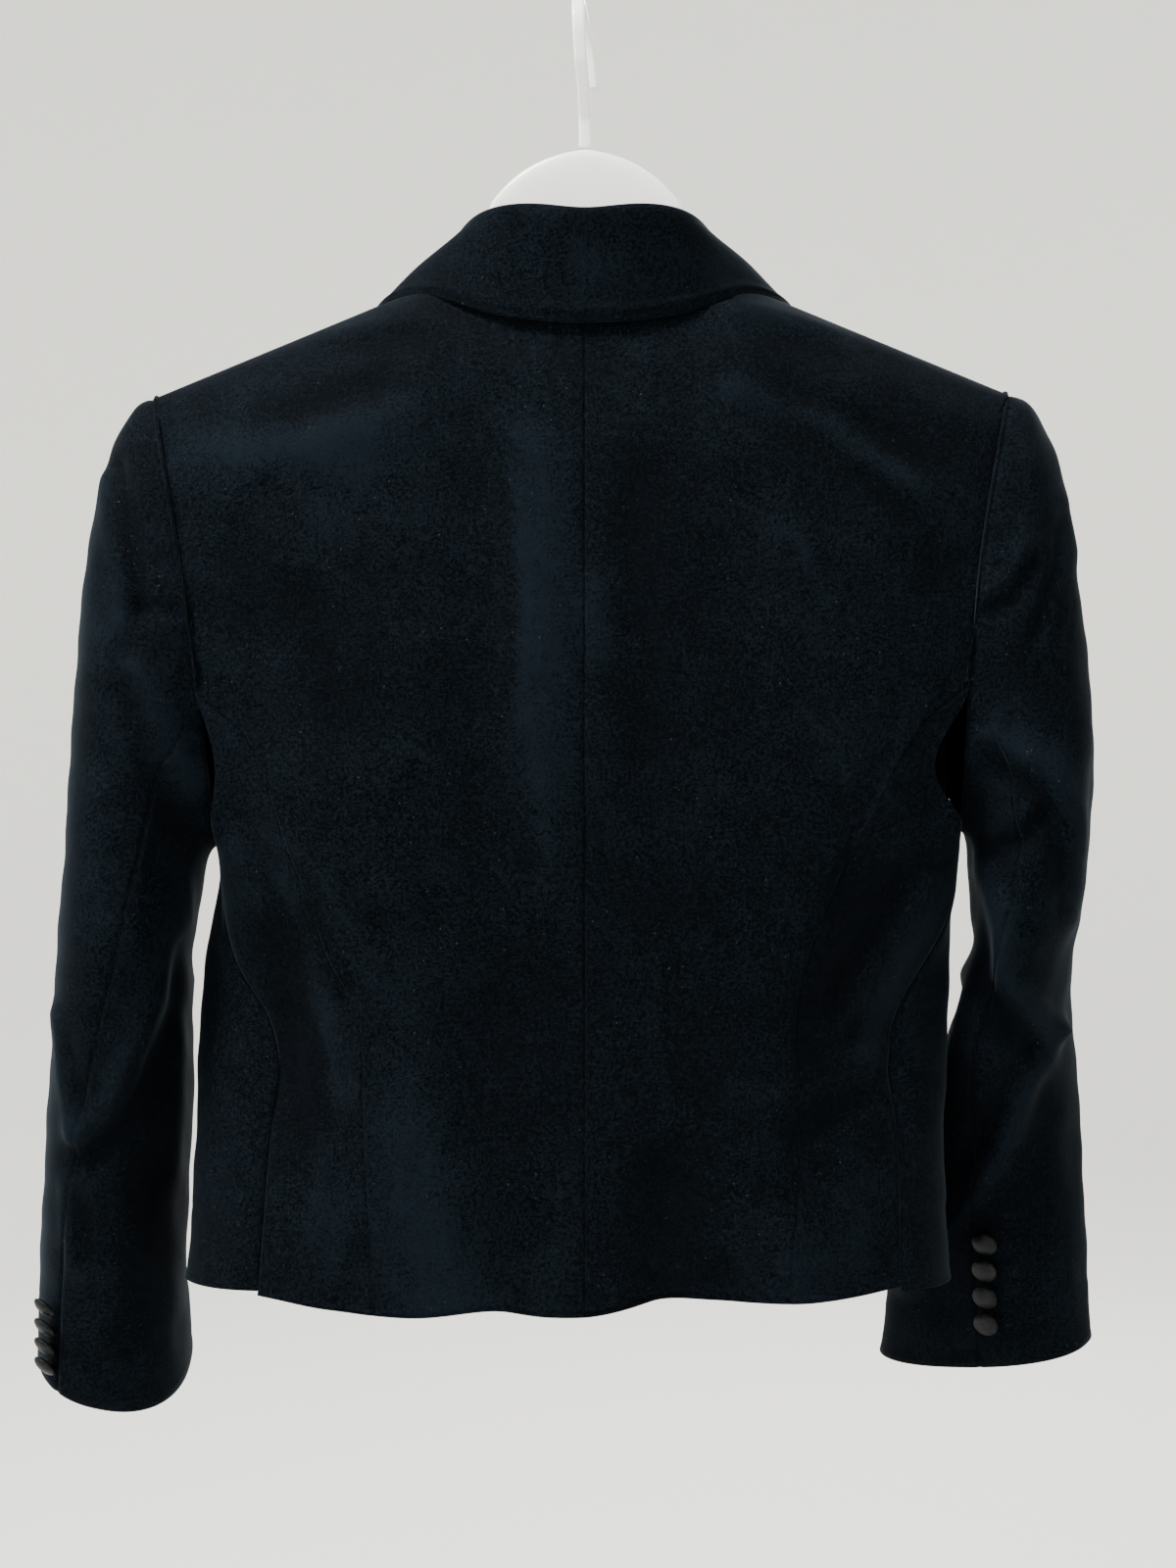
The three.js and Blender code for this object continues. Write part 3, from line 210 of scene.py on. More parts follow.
# Painted light and shade of the back: bands painted lighter where sheen catches and darker where shade
# falls, as route, width and strength.
BACK_PAINTED_LIGHT = [
    ("left shoulder, light", [(190, -212), (150, -216), (100, -222)], 10, 0.26),
    ("left shoulder top, light", [(160, -190), (105, -158)], 9, 0.16),
    ("left blade, dark", [(150, -204), (118, -196)], 8, -0.2),
    ("left blade drop, light", [(104, -224), (122, -262)], 12, 0.16),
    ("beside the centre, light", [(20, -228), (22, -330)], 6, 0.06),
    ("centre patch, light", [(-6, -285), (-8, -312)], 9, 0.2),
    ("left centre streak, light", [(56, -260), (50, -330)], 8, 0.14),
    ("left waist, light", [(140, -416), (122, -468), (114, -520)], 5, 0.42),
    ("left hip patch, light", [(112, -540), (116, -600)], 8, 0.2),
    ("left hip, dark", [(142, -440), (134, -500)], 8, -0.25),
    ("right shoulder, light", [(-54, -160), (-90, -157), (-122, -166)], 6, 0.36),
    ("right drag, light", [(-66, -190), (-112, -208), (-158, -238)], 6, 0.3),
    ("right drag hollow, dark", [(-90, -212), (-140, -240)], 8, -0.2),
    ("right tip, dark", [(-140, -190), (-190, -214)], 9, -0.15),
    ("right blade, light", [(-92, -262), (-104, -300)], 14, 0.12),
    ("right waist edge, light", [(-172, -424), (-152, -452), (-128, -500)], 5, 0.42),
    ("right waist, dark", [(-146, -420), (-112, -470)], 9, -0.22),
    ("right hip, light", [(-136, -556), (-122, -590)], 8, 0.2),
    ("middle, dark", [(-40, -430), (-70, -560)], 34, -0.16),
    ("low middle, dark", [(20, -470), (30, -560)], 30, -0.1),
    ("upper middle, dark", [(-30, -230), (-60, -330)], 20, -0.14),
    ("thin crease across the left blade", [(172, -250), (148, -268), (120, -272)], 3, 0.2),
    ("thin crease by the left armhole", [(184, -330), (160, -352)], 3, 0.18),
    ("crease of the middle, upper", [(38, -236), (33, -290), (36, -344)], 3, -0.2),
    ("crease of the middle, light edge", [(31, -236), (26, -290), (29, -344)], 3, 0.2),
    ("crease of the middle, lower", [(24, -352), (16, -420)], 4, 0.16),
    ("right blade crease", [(-58, -236), (-96, -258), (-112, -292)], 3, 0.2),
    ("right arm crease", [(-150, -262), (-176, -282)], 3, -0.2),
    ("right rib crease", [(-96, -336), (-126, -372)], 3, 0.18),
    ("right rib crease, lower", [(-118, -352), (-146, -384)], 3, 0.16),
    ("left rib crease", [(150, -392), (118, -416), (98, -452)], 3, 0.2),
    ("left waist crease", [(118, -436), (92, -470)], 3, 0.18),
    ("left hip crease", [(104, -560), (88, -602)], 3, 0.18),
    ("small crease low left", [(60, -486), (40, -510)], 3, 0.14),
    ("small crease low right", [(-96, -548), (-130, -574)], 3, 0.22),
    ("right waist crease", [(-140, -470), (-108, -492)], 3, 0.2),
]
# Painted highlights on the collar: lighter patches where sheen catches, as route, width and strength.
COLLAR_PAINTED_LIGHT = [
    ("patch", [(1, -126), (0, -138)], 8, 0.3),
    ("left roll", [(46, -104), (62, -112)], 8, 0.2),
]
FRONT_CREASES = [
    ("left chest drag", [(150, -250), (110, -300)], 10, -2.2),
    ("left underarm fold", [(165, -408), (128, -440), (60, -470)], 9, 2.2),
    ("left button drag", [(120, -455), (60, -480), (24, -486)], 8, -2.4),
    ("left skirt flute", [(84, -520), (98, -612)], 15, 2.8),
    ("left skirt hollow", [(48, -530), (52, -612)], 14, -2.4),
    ("right chest drag", [(-146, -242), (-104, -286)], 10, -2.4),
    ("right underarm fold", [(-160, -402), (-118, -444), (-52, -474)], 8, 2.4),
    ("right button drag", [(-112, -466), (-40, -492)], 7, -2.2),
    ("right skirt flute", [(-70, -516), (-82, -612)], 14, 2.6),
    ("right skirt hollow", [(-112, -530), (-126, -612)], 13, -2.6),
]

# Creases of the sleeves on the side that faces the back, then on the side that faces the front.
SLEEVE_CREASES = dict(
    left=[
        ("head fold", [(220, -222), (208, -273), (205, -293)], 5, -3.0),
        ("head ridge", [(226, -230), (215, -276), (213, -300)], 6, 2.2),
        ("armhole pinch", [(205, -293), (191, -294)], 4, -1.6),
        ("upper light fold", [(206, -320), (193, -345), (181, -370)], 7, 3.4),
        ("upper hollow", [(214, -330), (203, -362), (190, -392)], 7, -2.8),
        (
            "elbow step",
            [(182, -428), (193, -448), (200, -472), (211, -500), (224, -527), (238, -537)],
            7, 4.0,
        ),
        (
            "under the elbow",
            [(190, -452), (192, -480), (203, -512), (216, -534), (236, -549)],
            7, -5.0,
        ),
        ("outer crease", [(249, -482), (242, -520), (235, -555)], 5, 2.4),
        ("outer crease hollow", [(243, -494), (235, -530)], 5, -2.2),
        ("low crease", [(245, -563), (244, -589), (239, -609)], 5, 2.0),
        ("low crease hollow", [(238, -572), (237, -600)], 5, -1.8),
        ("forearm sag", [(206, -560), (214, -640)], 12, -2.0),
    ],
    right=[
        ("head fold", [(-183, -293), (-197, -289), (-207, -271)], 5, -2.8),
        ("head ridge", [(-186, -283), (-198, -279), (-204, -262)], 5, 1.8),
        ("long fine fold", [(-224, -246), (-218, -276), (-207, -306)], 4, -1.8),
        ("shoulder sag", [(-226, -214), (-232, -262)], 8, 1.6),
        (
            "sweeping fold",
            [(-188, -350), (-217, -371), (-228, -392), (-231, -416), (-230, -437)],
            7, 3.4,
        ),
        ("sweeping hollow", [(-190, -362), (-212, -382), (-220, -402), (-222, -430)], 6, -3.0),
        ("crescent", [(-213, -389), (-203, -400), (-191, -404)], 6, -4.0),
        (
            "inner edge",
            [(-184, -408), (-194, -432), (-197, -464), (-205, -474), (-224, -490)],
            6, 4.5,
        ),
        (
            "under the inner edge",
            [(-180, -428), (-186, -468), (-198, -486), (-216, -500)],
            7, -5.5,
        ),
        (
            "elbow crease",
            [(-226, -492), (-213, -515), (-202, -543), (-184, -581), (-171, -601), (-161, -623)],
            6, 4.0,
        ),
        ("beside the elbow crease", [(-206, -508), (-193, -540), (-175, -578)], 7, -2.6),
        ("outer forearm sag", [(-222, -520), (-216, -590)], 10, -2.0),
    ],
)
# Painted light and shade of the sleeves on the side that faces the back: lighter where sheen catches,
# darker where shade falls.
SLEEVE_PAINTED_LIGHT = dict(
    left=[
        ("upper, light", [(226, -300), (216, -346), (188, -372)], 12, 0.26),
        ("head, light", [(232, -232), (238, -280)], 10, 0.18),
        ("arm, light", [(232, -370), (222, -440)], 12, 0.18),
        ("forearm, dark", [(212, -530), (206, -600)], 16, -0.16),
        ("cuff, light", [(262, -560), (260, -620)], 8, 0.2),
        ("elbow fold, dark", [(196, -470), (210, -516)], 8, -0.3),
    ],
    right=[
        ("head, light", [(-222, -232), (-228, -276)], 8, 0.2),
        ("sweep, light", [(-200, -346), (-222, -366)], 9, 0.28),
        ("arm, dark", [(-196, -310), (-214, -330)], 12, -0.14),
        ("elbow, light", [(-228, -480), (-206, -520)], 7, 0.22),
        ("forearm, dark", [(-180, -540), (-170, -620)], 16, -0.2),
        ("outer edge, light", [(-240, -440), (-240, -620)], 6, 0.2),
    ],
)
SLEEVE_FRONT_CREASES = dict(
    left=[
        ("front head fold", [(222, -230), (212, -290)], 6, -2.4),
        ("front bend", [(250, -446), (224, -462), (196, -456)], 8, -4.0),
        ("front bend lower", [(252, -480), (226, -492), (198, -486)], 7, -3.0),
        ("front bend ridge", [(252, -462), (224, -476), (198, -470)], 6, 2.4),
        ("front forearm crease", [(244, -540), (220, -600)], 8, -2.2),
    ],
    right=[
        ("front head fold", [(-218, -226), (-206, -296)], 6, -2.6),
        ("front bend", [(-238, -438), (-214, -458), (-188, -450)], 8, -4.0),
        ("front bend lower", [(-232, -474), (-208, -488), (-184, -480)], 7, -3.2),
        ("front bend ridge", [(-236, -456), (-210, -472), (-186, -466)], 6, 2.4),
        ("front forearm crease", [(-226, -540), (-190, -600)], 8, -2.0),
    ],
)

CUFF_BUTTON = dict(radius=6.3, thick=4.2, stand=0.6, foot=0.76, count=4)
CUFF_ROW = dict(
    left=dict(first_z=-622, pitch=9.6, hind_offset=-7, lean=38),
    right=dict(first_z=-596, pitch=13.6, hind_offset=-6, lean=16),
)
FRONT_BUTTON = dict(radius=9, thick=5.5, stand=0.8, foot=0.76, z=-486)

HANGER = dict(
    thick=11, under_cloth=3.7, top_z=-70, arch_x=46, arch_z=-97, tip_short=9, tip_drop=24, tip_round=8,
)
HOOK = dict(width=6, thick=3, inside_radius=15, foot_z=-68.3, bend_z=-47, end_z=-36)

# The camera stands level behind the back. Distances are from the plane of the shoulder seams.
PHOTO = dict(width=1200, height=1600, mm_per_px=0.47, distance=1300, axis_x=597, origin_y=5)


def mix(a, b, share):
    """Straight line from a to b."""
    return a + (b - a) * share


def ease(value):
    """Smooth step: three times the square less twice the cube, held between 0 and 1."""
    share = np.clip(value, 0, 1)
    return share * share * (3 - 2 * share)


def column(rows, names, key, wanted, value):
    """Reads one column of a table at many key values, as a cubic with soft slopes at the rows."""
    keys = np.array([row[names.index(key)] for row in rows], float)
    values = np.array([row[names.index(wanted)] for row in rows], float)
    if keys[-1] < keys[0]:
        keys, value = -keys, -np.asarray(value, float)
    last = len(keys) - 1
    low = np.maximum(np.arange(last + 1) - 1, 0)
    high = np.minimum(np.arange(last + 1) + 1, last)
    slopes = (values[high] - values[low]) / (keys[high] - keys[low])
    index = np.clip(np.searchsorted(keys, value, side="left") - 1, 0, last - 1)
    span = keys[index + 1] - keys[index]
    t = np.clip((value - keys[index]) / span, 0, 1)
    rise = t * t * (3 - 2 * t)
    start = t * (1 - t) ** 2 * span * slopes[index]
    end = t * t * (t - 1) * span * slopes[index + 1]
    return mix(values[index], values[index + 1], rise) + start + end


def creases(table, x, z):
    """Sum of soft ridges: each height falls off as a bell curve with the distance to its route."""
    height = np.zeros(np.broadcast(x, z).shape)
    for _, route, width, rise in table:
        nearest = np.full(height.shape, np.inf)
        for (x0, z0), (x1, z1) in zip(route, route[1:]):
            run_x, run_z = x1 - x0, z1 - z0
            along = ((x - x0) * run_x + (z - z0) * run_z) / (run_x ** 2 + run_z ** 2)
            along = np.clip(along, 0, 1)
            off = (x - x0 - along * run_x) ** 2 + (z - z0 - along * run_z) ** 2
            nearest = np.minimum(nearest, off)
        height = height + rise * np.exp(-nearest / width ** 2)
    return height


def armhole_point(side, angle, towards_back):
    """Oval loop from the shoulder tip at angle 0 to the underarm at a half turn."""
    hole = ARMHOLE[side]
    middle_x = (hole["tip_x"] + hole["base_x"]) / 2
    middle_z = (hole["tip_z"] + hole["base_z"]) / 2
    x = middle_x + (hole["tip_x"] - middle_x) * np.cos(angle) - hole["hollow"] * np.sin(angle) ** 2
    y = towards_back * (SEAM_GAP / 2 + hole["depth"] * np.sin(angle))
    z = middle_z + (hole["tip_z"] - middle_z) * np.cos(angle)
    return x, y, z


def upper_edge(side, share, is_front):
    """Upper edge of a half back or front: x, y, z, how steeply the cloth turns, ridge depth.

    The back runs neckline, shoulder, armhole. The front runs armhole, shoulder."""
    share = np.asarray(share, float)
    towards = -1 if is_front else 1
    hole = ARMHOLE[side]
    if is_front:
        around = np.clip(1 - share / FRONT_TIP, 0, 1)
        along = np.clip(1 - (share - FRONT_TIP) / (1 - FRONT_TIP), 0, 1)
        at_armhole = share < FRONT_TIP
    else:
        around = np.clip((share - BACK_TIP) / (1 - BACK_TIP), 0, 1)
        along = np.clip((share - BACK_NECK) / (BACK_TIP - BACK_NECK), 0, 1)
        at_armhole = share >= BACK_TIP
    loop = armhole_point(side, math.pi * around, towards)
    shoulder = (
        mix(NECK["half_width"], hole["tip_x"], along),
        towards * SEAM_GAP / 2 + 0 * along,
        mix(NECK["z"], hole["tip_z"], along),
    )
    x, y, z = (np.where(at_armhole, a, b) for a, b in zip(loop, shoulder))
    steep = np.where(at_armhole, 0.5 + 0.5 * ease(around * 8), 0.5)
    ridge = np.where(
        at_armhole,
        mix(RIDGE["tip"], RIDGE["underarm"], around),
        mix(RIDGE["neck"], RIDGE["tip"], along),
    )
    if not is_front:
        at_neck = share < BACK_NECK
        inward = np.sqrt(np.clip(1 - (share / BACK_NECK) ** 2, 0, 1))
        x = np.where(at_neck, NECK["half_width"] * share / BACK_NECK, x)
        y = np.where(at_neck, SEAM_GAP / 2 + NECK["back_depth"] * inward, y)
        z = np.where(at_neck, NECK["z"] - NECK["back_drop"] * inward, z)
        steep = np.where(at_neck, 0.5 + 0.5 * inward, steep)
        ridge = np.where(at_neck, RIDGE["neck"], ridge)
    return x, y, z, steep, ridge


def turned(drop, steep, ridge):
    """How far the cloth has turned from its edge to the flat: a circle's arc to a power."""
    left = 1 - np.clip(drop / ridge, 0, 1)
    return (1 - left * left) ** steep


def body_row(side, wanted, z):
    """One column of a half body's sections at given heights."""
    return column(BODY[side], BODY_COLUMNS, "z", wanted, z)


def back_point(side, share, z):
    """Half back: a power curve in plan from centre depth to side seam, drawn up to its edge."""
    top_x, top_y, top_z, steep, ridge = upper_edge(side, share, False)
    drop = np.maximum(top_z - z, 0)
    section_x = share * body_row(side, "seam_x", z)
    bent = np.maximum(share, 0) ** body_row(side, "bend", z)
    section_y = mix(body_row(side, "back", z), body_row(side, "seam_y", z), bent)
    mirror = 1 if side == "left" else -1
    x = mirror * mix(top_x, section_x, ease(drop / SETTLE))
    fold = creases(BACK_FOLDS, x, z) * ease(drop / 25)
    y = mix(top_y, section_y, turned(drop, steep, ridge)) + fold
    return np.stack([x, y, z + 0 * x], -1)


def front_edge_x(z):
    """Free edge of the front: straight down the roll line, then eased over to the overlap."""
    run = np.clip((NECK["z"] - z) / (NECK["z"] - FRONT["roll_z"]), 0, 1)
    roll = mix(NECK["half_width"], FRONT["roll_x"], run)
    crossed = ease((FRONT["roll_z"] - z) / (FRONT["roll_z"] - FRONT["overlap_z"]))
    return mix(roll, FRONT["overlap"], crossed)


def front_point(side, share, z):
    """Front: a quarter oval from side seam to side, then a squared oval to the free edge."""
    top_x, top_y, top_z, steep, ridge = upper_edge(side, share, True)
    drop = np.maximum(top_z - z, 0)
    gusset, side_x, side_y = (body_row(side, name, z) for name in ("gusset", "side_x", "side_y"))
    turn = math.pi / 2 * np.clip(share / gusset, 0, 1)
    gusset_x = mix(body_row(side, "seam_x", z), side_x, np.sin(turn))
    gusset_y = mix(side_y, body_row(side, "seam_y", z), np.cos(turn))
    edge = front_edge_x(z)
    last = np.arccos(np.sign(edge) * (np.abs(edge) / side_x) ** (FRONT_SQUARENESS / 2))
    angle = last * np.clip((share - gusset) / (1 - gusset), 0, 1)
    across = np.cos(angle)
    panel_x = side_x * np.sign(across) * np.abs(across) ** (2 / FRONT_SQUARENESS)
    panel_y = mix(side_y, -body_row(side, "front", z), np.sin(angle) ** (2 / FRONT_SQUARENESS))
    x = np.where(share < gusset, gusset_x, panel_x)
    y = np.where(share < gusset, gusset_y, panel_y)
    layer = 0
    if side == "right":
        layer = FRONT["layer"] * ease((share - 0.6) / 0.35) * ease(drop / SETTLE)
    mirror = 1 if side == "left" else -1
    x = mirror * mix(top_x, x, ease(drop / SETTLE))
    y = mix(top_y, y, turned(drop, steep, ridge)) - layer
    return np.stack([x, y, z + 0 * x], -1)


def unit(vectors):
    """Vectors scaled to length 1."""
    return vectors / np.maximum(np.linalg.norm(vectors, axis=-1, keepdims=True), 1e-9)


def panel_normal(surface, side, share, z, is_front):
    """Outward unit vectors of a body panel, from small steps across it and down it."""
    step_share, step_z = 0.004, 0.6
    inner = np.clip(share, step_share, 1 - step_share)
    top_x, _, top_z, steep, _ = upper_edge(side, inner, is_front)
    below = np.minimum(z, top_z - 2.5 * step_z)
    across = surface(side, inner + step_share, below) - surface(side, inner - step_share, below)
    down = surface(side, inner, below + step_z) - surface(side, inner, below - step_z)
    normal = unit(np.cross(across, down))
    point = surface(side, inner, below)
    outward = np.stack([point[..., 0], point[..., 1], 12 + 0 * point[..., 0]], -1)
    normal = normal * np.where(np.sum(normal * outward, -1, keepdims=True) < 0, -1, 1)
    mirror = 1 if side == "left" else -1
    at_edge = z > upper_edge(side, share, is_front)[2] - 0.01
    seam = at_edge & (steep == 0.5)
    normal[..., 1] = np.where(seam, 0, normal[..., 1])
    leaning = at_edge & (steep > 0.5) & (normal[..., 0] * mirror < 0)
    normal[..., 0] = np.where(leaning, 0, normal[..., 0])
    return unit(normal)


def make_mesh(name, points, faces):
    """A smooth mesh object at the origin from points in millimetres and lists of indices."""
    mesh = bpy.data.meshes.new(name)
    mesh.from_pydata((points * MM).tolist(), [], faces)
    mesh.update()
    piece = bpy.data.objects.new(name, mesh)
    bpy.context.collection.objects.link(piece)
    mesh.shade_smooth()
    return piece


def grid_faces(rows, columns, first=0):
    """Quads of a grid numbered row by row."""
    start = first + np.arange(rows - 1)[:, None] * columns + np.arange(columns - 1)[None, :]
    return np.stack([start, start + columns, start + columns + 1, start + 1], -1).reshape(-1, 4)


def tube_faces(rings, around):
    """Quads of closed rings numbered ring by ring, and fans to a point before and one after."""
    start = np.arange(rings - 1)[:, None] * around
    k = np.arange(around)[None, :]
    after = (k + 1) % around
    quads = np.stack([start + k, start + after, start + around + after, start + around + k], -1)
    k, after = k[0], after[0]
    last = (rings - 1) * around
    first_fan = np.stack([np.full(around, rings * around), after, k], -1)
    last_fan = np.stack([np.full(around, rings * around + 1), last + k, last + after], -1)
    return quads.reshape(-1, 4), np.concatenate([first_fan, last_fan])


def soften(grid, axis, passes):
    """Averages each point with its two neighbours along an axis, many times, with fixed ends."""
    soft = np.moveaxis(grid.copy(), axis, 0)
    for _ in range(passes):
        soft[1:-1] = (soft[:-2] + 2 * soft[1:-1] + soft[2:]) / 4
    return np.moveaxis(soft, 0, axis)


def wall(name, outer, inner, nap_and_painted_light=0.5):
    """Closed wall from a grid of outer points and one of inner points, joined round its edges.
    The last argument is how light the pile is at each point, from 0 to 1: random nap tone and painted
    light and shade."""
    rows, columns = outer.shape[:2]
    count = rows * columns
    points = np.concatenate([outer.reshape(-1, 3), inner.reshape(-1, 3)])
    front = grid_faces(rows, columns)
    back = grid_faces(rows, columns, count)[:, ::-1]
    rim = np.concatenate([
        np.arange(columns),
        np.arange(1, rows) * columns + columns - 1,
        (rows - 1) * columns + np.arange(columns - 2, -1, -1),
        np.arange(rows - 2, 0, -1) * columns,
    ])
    following = np.roll(rim, -1)
    edge = np.stack([rim, following, following + count, rim + count], -1)
    faces = np.concatenate([front, back, edge])
    a, b, c, d = (points[faces[:, i]] for i in range(4))
    volume = np.sum(a * np.cross(b, c)) + np.sum(a * np.cross(c, d))
    if volume < 0:
        faces = faces[:, ::-1]
    piece = make_mesh(name, points, faces.tolist())
    shade = np.clip(np.broadcast_to(nap_and_painted_light, outer.shape[:2]).reshape(-1), 0, 1)
    layer = piece.data.attributes.new("nap_and_painted_light", "FLOAT", "POINT")
    layer.data.foreach_set("value", np.tile(shade, 2).astype(np.float32))
    return piece


def close_to_edges(count, pull=0.8):
    """Shares from 0 to 1 that crowd towards both ends."""
    t = np.linspace(0, 1, count)
    return t - pull * np.sin(2 * math.pi * t) / (2 * math.pi)


def seam_ditch(distance, depth=0.45, width=1.5):
    """Cloth rolls down into its seam within a couple of millimetres."""
    return -depth * np.exp(-(distance / width) ** 2)


def arc_lengths(points, axis):
    """Distances along the rows or columns of a grid, from 0 at the first point."""
    steps = np.linalg.norm(np.diff(points, axis=axis), axis=-1)
    return np.insert(np.cumsum(steps, axis=axis), 0, 0, axis=axis)


def from_edges(points):
    """Distances from each point to the first and the last column of its grid."""
    run = arc_lengths(points, 1)
    return run, run[:, -1:] - run


def pucker(x, z, seed, size=7.0):
    """Slow unevenness of handled cloth: a few waves with fixed directions and phases."""
    draw = np.random.default_rng(seed)
    total = 0
    for _ in range(7):
        direction, phase = draw.uniform(0, math.pi), draw.uniform(0, 2 * math.pi)
        stretch = draw.uniform(3, 9)
        wave = (x * math.cos(direction) + z * math.sin(direction)) / (size * stretch)
        total = total + np.sin(2 * math.pi * wave + phase)
    return total / 7


def panel_rows(turn_rows, even_rows):
    """Shares of the way from upper edge to hem: close over the shoulder ridge, then even."""
    t = np.linspace(0, 1, turn_rows + 1)
    turn_end = 0.12
    turn = turn_end * (1 - np.cos(t * math.pi / 2))
    return np.concatenate([turn, np.linspace(turn_end, 1, even_rows + 1)[1:]])


def hem_z(share, is_front):
    """Height of the plain hem across a half front or back."""
    ends = (HEM["side"], HEM["front"]) if is_front else (HEM["back"], HEM["side"])
    return mix(*ends, ease(share))


def body_panel(name, side, is_front, columns, share_at, crease_table, painted_light_table, seed):
    """A body panel: the CAD surface on a fine grid, with seam ditches, creases and a hem roll."""
    surface = front_point if is_front else back_point
    rows = panel_rows(26, 120)[:, None]
    top_share = columns[None, :]
    top_z = upper_edge(side, top_share, is_front)[2]
    low = hem_z(top_share, is_front)
    if not is_front:
        hem_x = surface(side, share_at(top_share, low), low)[..., 0]
        low = column(HEM_LINE, HEM_COLUMNS, "x", "z", hem_x)
    z = mix(top_z, low, rows)
    share = share_at(top_share + 0 * z, z)
    points = surface(side, share, z)
    normal = panel_normal(surface, side, share, z, is_front)
    below = ease((top_z - z) / 16)[..., None]
    points = mix(points, soften(points, 1, 60), below)
    normal = unit(mix(normal, soften(normal, 1, 60), below))
    x = points[..., 0]
    drop = ease((top_z - z) / 14)
    first, last = from_edges(points)
    edge = np.minimum(first, last) if not is_front else first
    relief = creases(crease_table, x, z) * drop
    relief = relief + 1.1 * pucker(x, z, seed) * ease(edge / 14) * drop
    folds = 0 if is_front else creases(BACK_FOLDS, x, z)
    # Painted light and shade: ridges of the relief and folds lighter and hollows darker, then the
    # painted light table; the pucker adds random nap tone.
    nap_and_painted_light = 0.42 + 0.1 * (relief + folds) * drop
    nap_and_painted_light = nap_and_painted_light + creases(painted_light_table, x, z) + 0.1 * pucker(x, z, seed + 1, 3.0)
    # Painted shade along the seams, where the cloth rolls into its ditch.
    nap_and_painted_light = nap_and_painted_light - 0.12 * np.exp(-(edge / 2) ** 2)
    relief = relief + seam_ditch(edge)
    to_hem = z - z[-1:]
    relief = relief + 0.5 * ease(1 - to_hem / 4)
    relief = relief - 0.35 * np.exp(-((to_hem - HEM_TURN_UP["line"]) / 2.5) ** 2)
    outer = points + normal * relief[..., None]
    thick = CLOTH + 0.7 * ease(1 - to_hem / HEM_TURN_UP["thick"])
    return wall(name, outer, outer - normal * thick[..., None], nap_and_painted_light)


def princess_share(side, z):
    """Place of the princess seam across the half back, the same above its first row."""
    rows = PRINCESS[side]
    return column(rows, PRINCESS_COLUMNS, "z", "share", np.minimum(z, rows[0][0]))


def gap_share(side, z):
    """Half a seam's gap as a share of the half back's width."""
    return SEAM_GAP / 2 / body_row(side, "seam_x", z)


def make_back(side):
    """Half back from the centre seam to the princess seam."""
    neck = BACK_NECK * np.sin(np.linspace(0, 1, 25) * math.pi / 2)
    rest = mix(BACK_NECK, PRINCESS_TOP, close_to_edges(80, 0.6))[1:]
    columns = np.concatenate([[0, 0.002, 0.004, 0.007, 0.011], neck[1:], rest])
    columns = np.unique(np.round(columns, 5))

    def share_at(top, z):
        gap = gap_share(side, z)
        return mix(gap, princess_share(side, z) - gap, top / PRINCESS_TOP)

    name = f"velvet_back_{side}"
    return body_panel(name, side, False, columns, share_at, BACK_CREASES, BACK_PAINTED_LIGHT, 3)


def make_side_back(side):
    """Side back from the princess seam to the side seam."""
    columns = mix(PRINCESS_TOP, 1, close_to_edges(46, 0.7))

    def share_at(top, z):
        gap = gap_share(side, z)
        across = (top - PRINCESS_TOP) / (1 - PRINCESS_TOP)
        return mix(princess_share(side, z) + gap, 1 - gap, across)

    name = f"velvet_side_back_{side}"
    return body_panel(name, side, False, columns, share_at, BACK_CREASES, BACK_PAINTED_LIGHT, 3)


def make_front(side):
    """Front from the side seam to its free edge."""
    columns = np.concatenate([
        FRONT_TIP * np.linspace(0, 1, 64) ** 1.15,
        mix(FRONT_TIP, 1, np.linspace(0, 1, 60))[1:],
    ])

    def share_at(top, z):
        return np.maximum(top, gap_share(side, z))

    return body_panel(f"velvet_front_{side}", side, True, columns, share_at, FRONT_CREASES, [], 5)


def front_share_at(side, x, z):
    """Share of the front that lies a distance from the centre line, by halving the interval."""
    low, high = np.full(x.shape, FRONT_TIP), np.ones(x.shape)
    for _ in range(24):
        middle = (low + high) / 2
        beyond = np.abs(front_point(side, middle, z)[..., 0]) > x
        low, high = np.where(beyond, middle, low), np.where(beyond, high, middle)
    return low


def make_lapel(side):
    """The turned back front edge: the front's points moved out by its wall and a small gap."""
    top, widest, foot = LAPEL[0][0], LAPEL[2][0], LAPEL[-1][0]
    z = np.concatenate([np.linspace(top, widest, 30), np.linspace(widest, foot, 90)[1:]])[:, None]
    t = close_to_edges(34, 0.6)[None, :]
    edge = np.abs(front_point(side, np.ones(z.shape), z)[..., 0])
    reach = column(LAPEL, LAPEL_COLUMNS, "z", "reach", z)
    share = front_share_at(side, edge + LAPEL_INSET + reach * t, z + 0 * t)
    heights = z + 0 * t
    points = front_point(side, share, heights)
    normal = panel_normal(front_point, side, share, heights, True)
    puff = LAPEL_PUFF * (1 - t) ** 2 + 0.5 * pucker(points[..., 0], heights, 9) * (4 * t * (1 - t))
    lift = CLOTH + LYING_GAP + puff + 0.35 * ease((t - 0.93) / 0.07)
    outer = points + normal * lift[..., None]
    # Random nap tone, and a painted highlight along the puffed, rolled edge.
    nap_and_painted_light = 0.45 + 0.2 * pucker(points[..., 0], heights, 11, 3.0) + 0.15 * (1 - t)
    return wall(f"velvet_lapel_{side}", outer, outer - normal * (CLOTH - 0.2), nap_and_painted_light)


def collar_column(wanted, at):
    """One column of the collar's table at given stations."""
    return column(COLLAR, COLLAR_COLUMNS, "at", wanted, at)


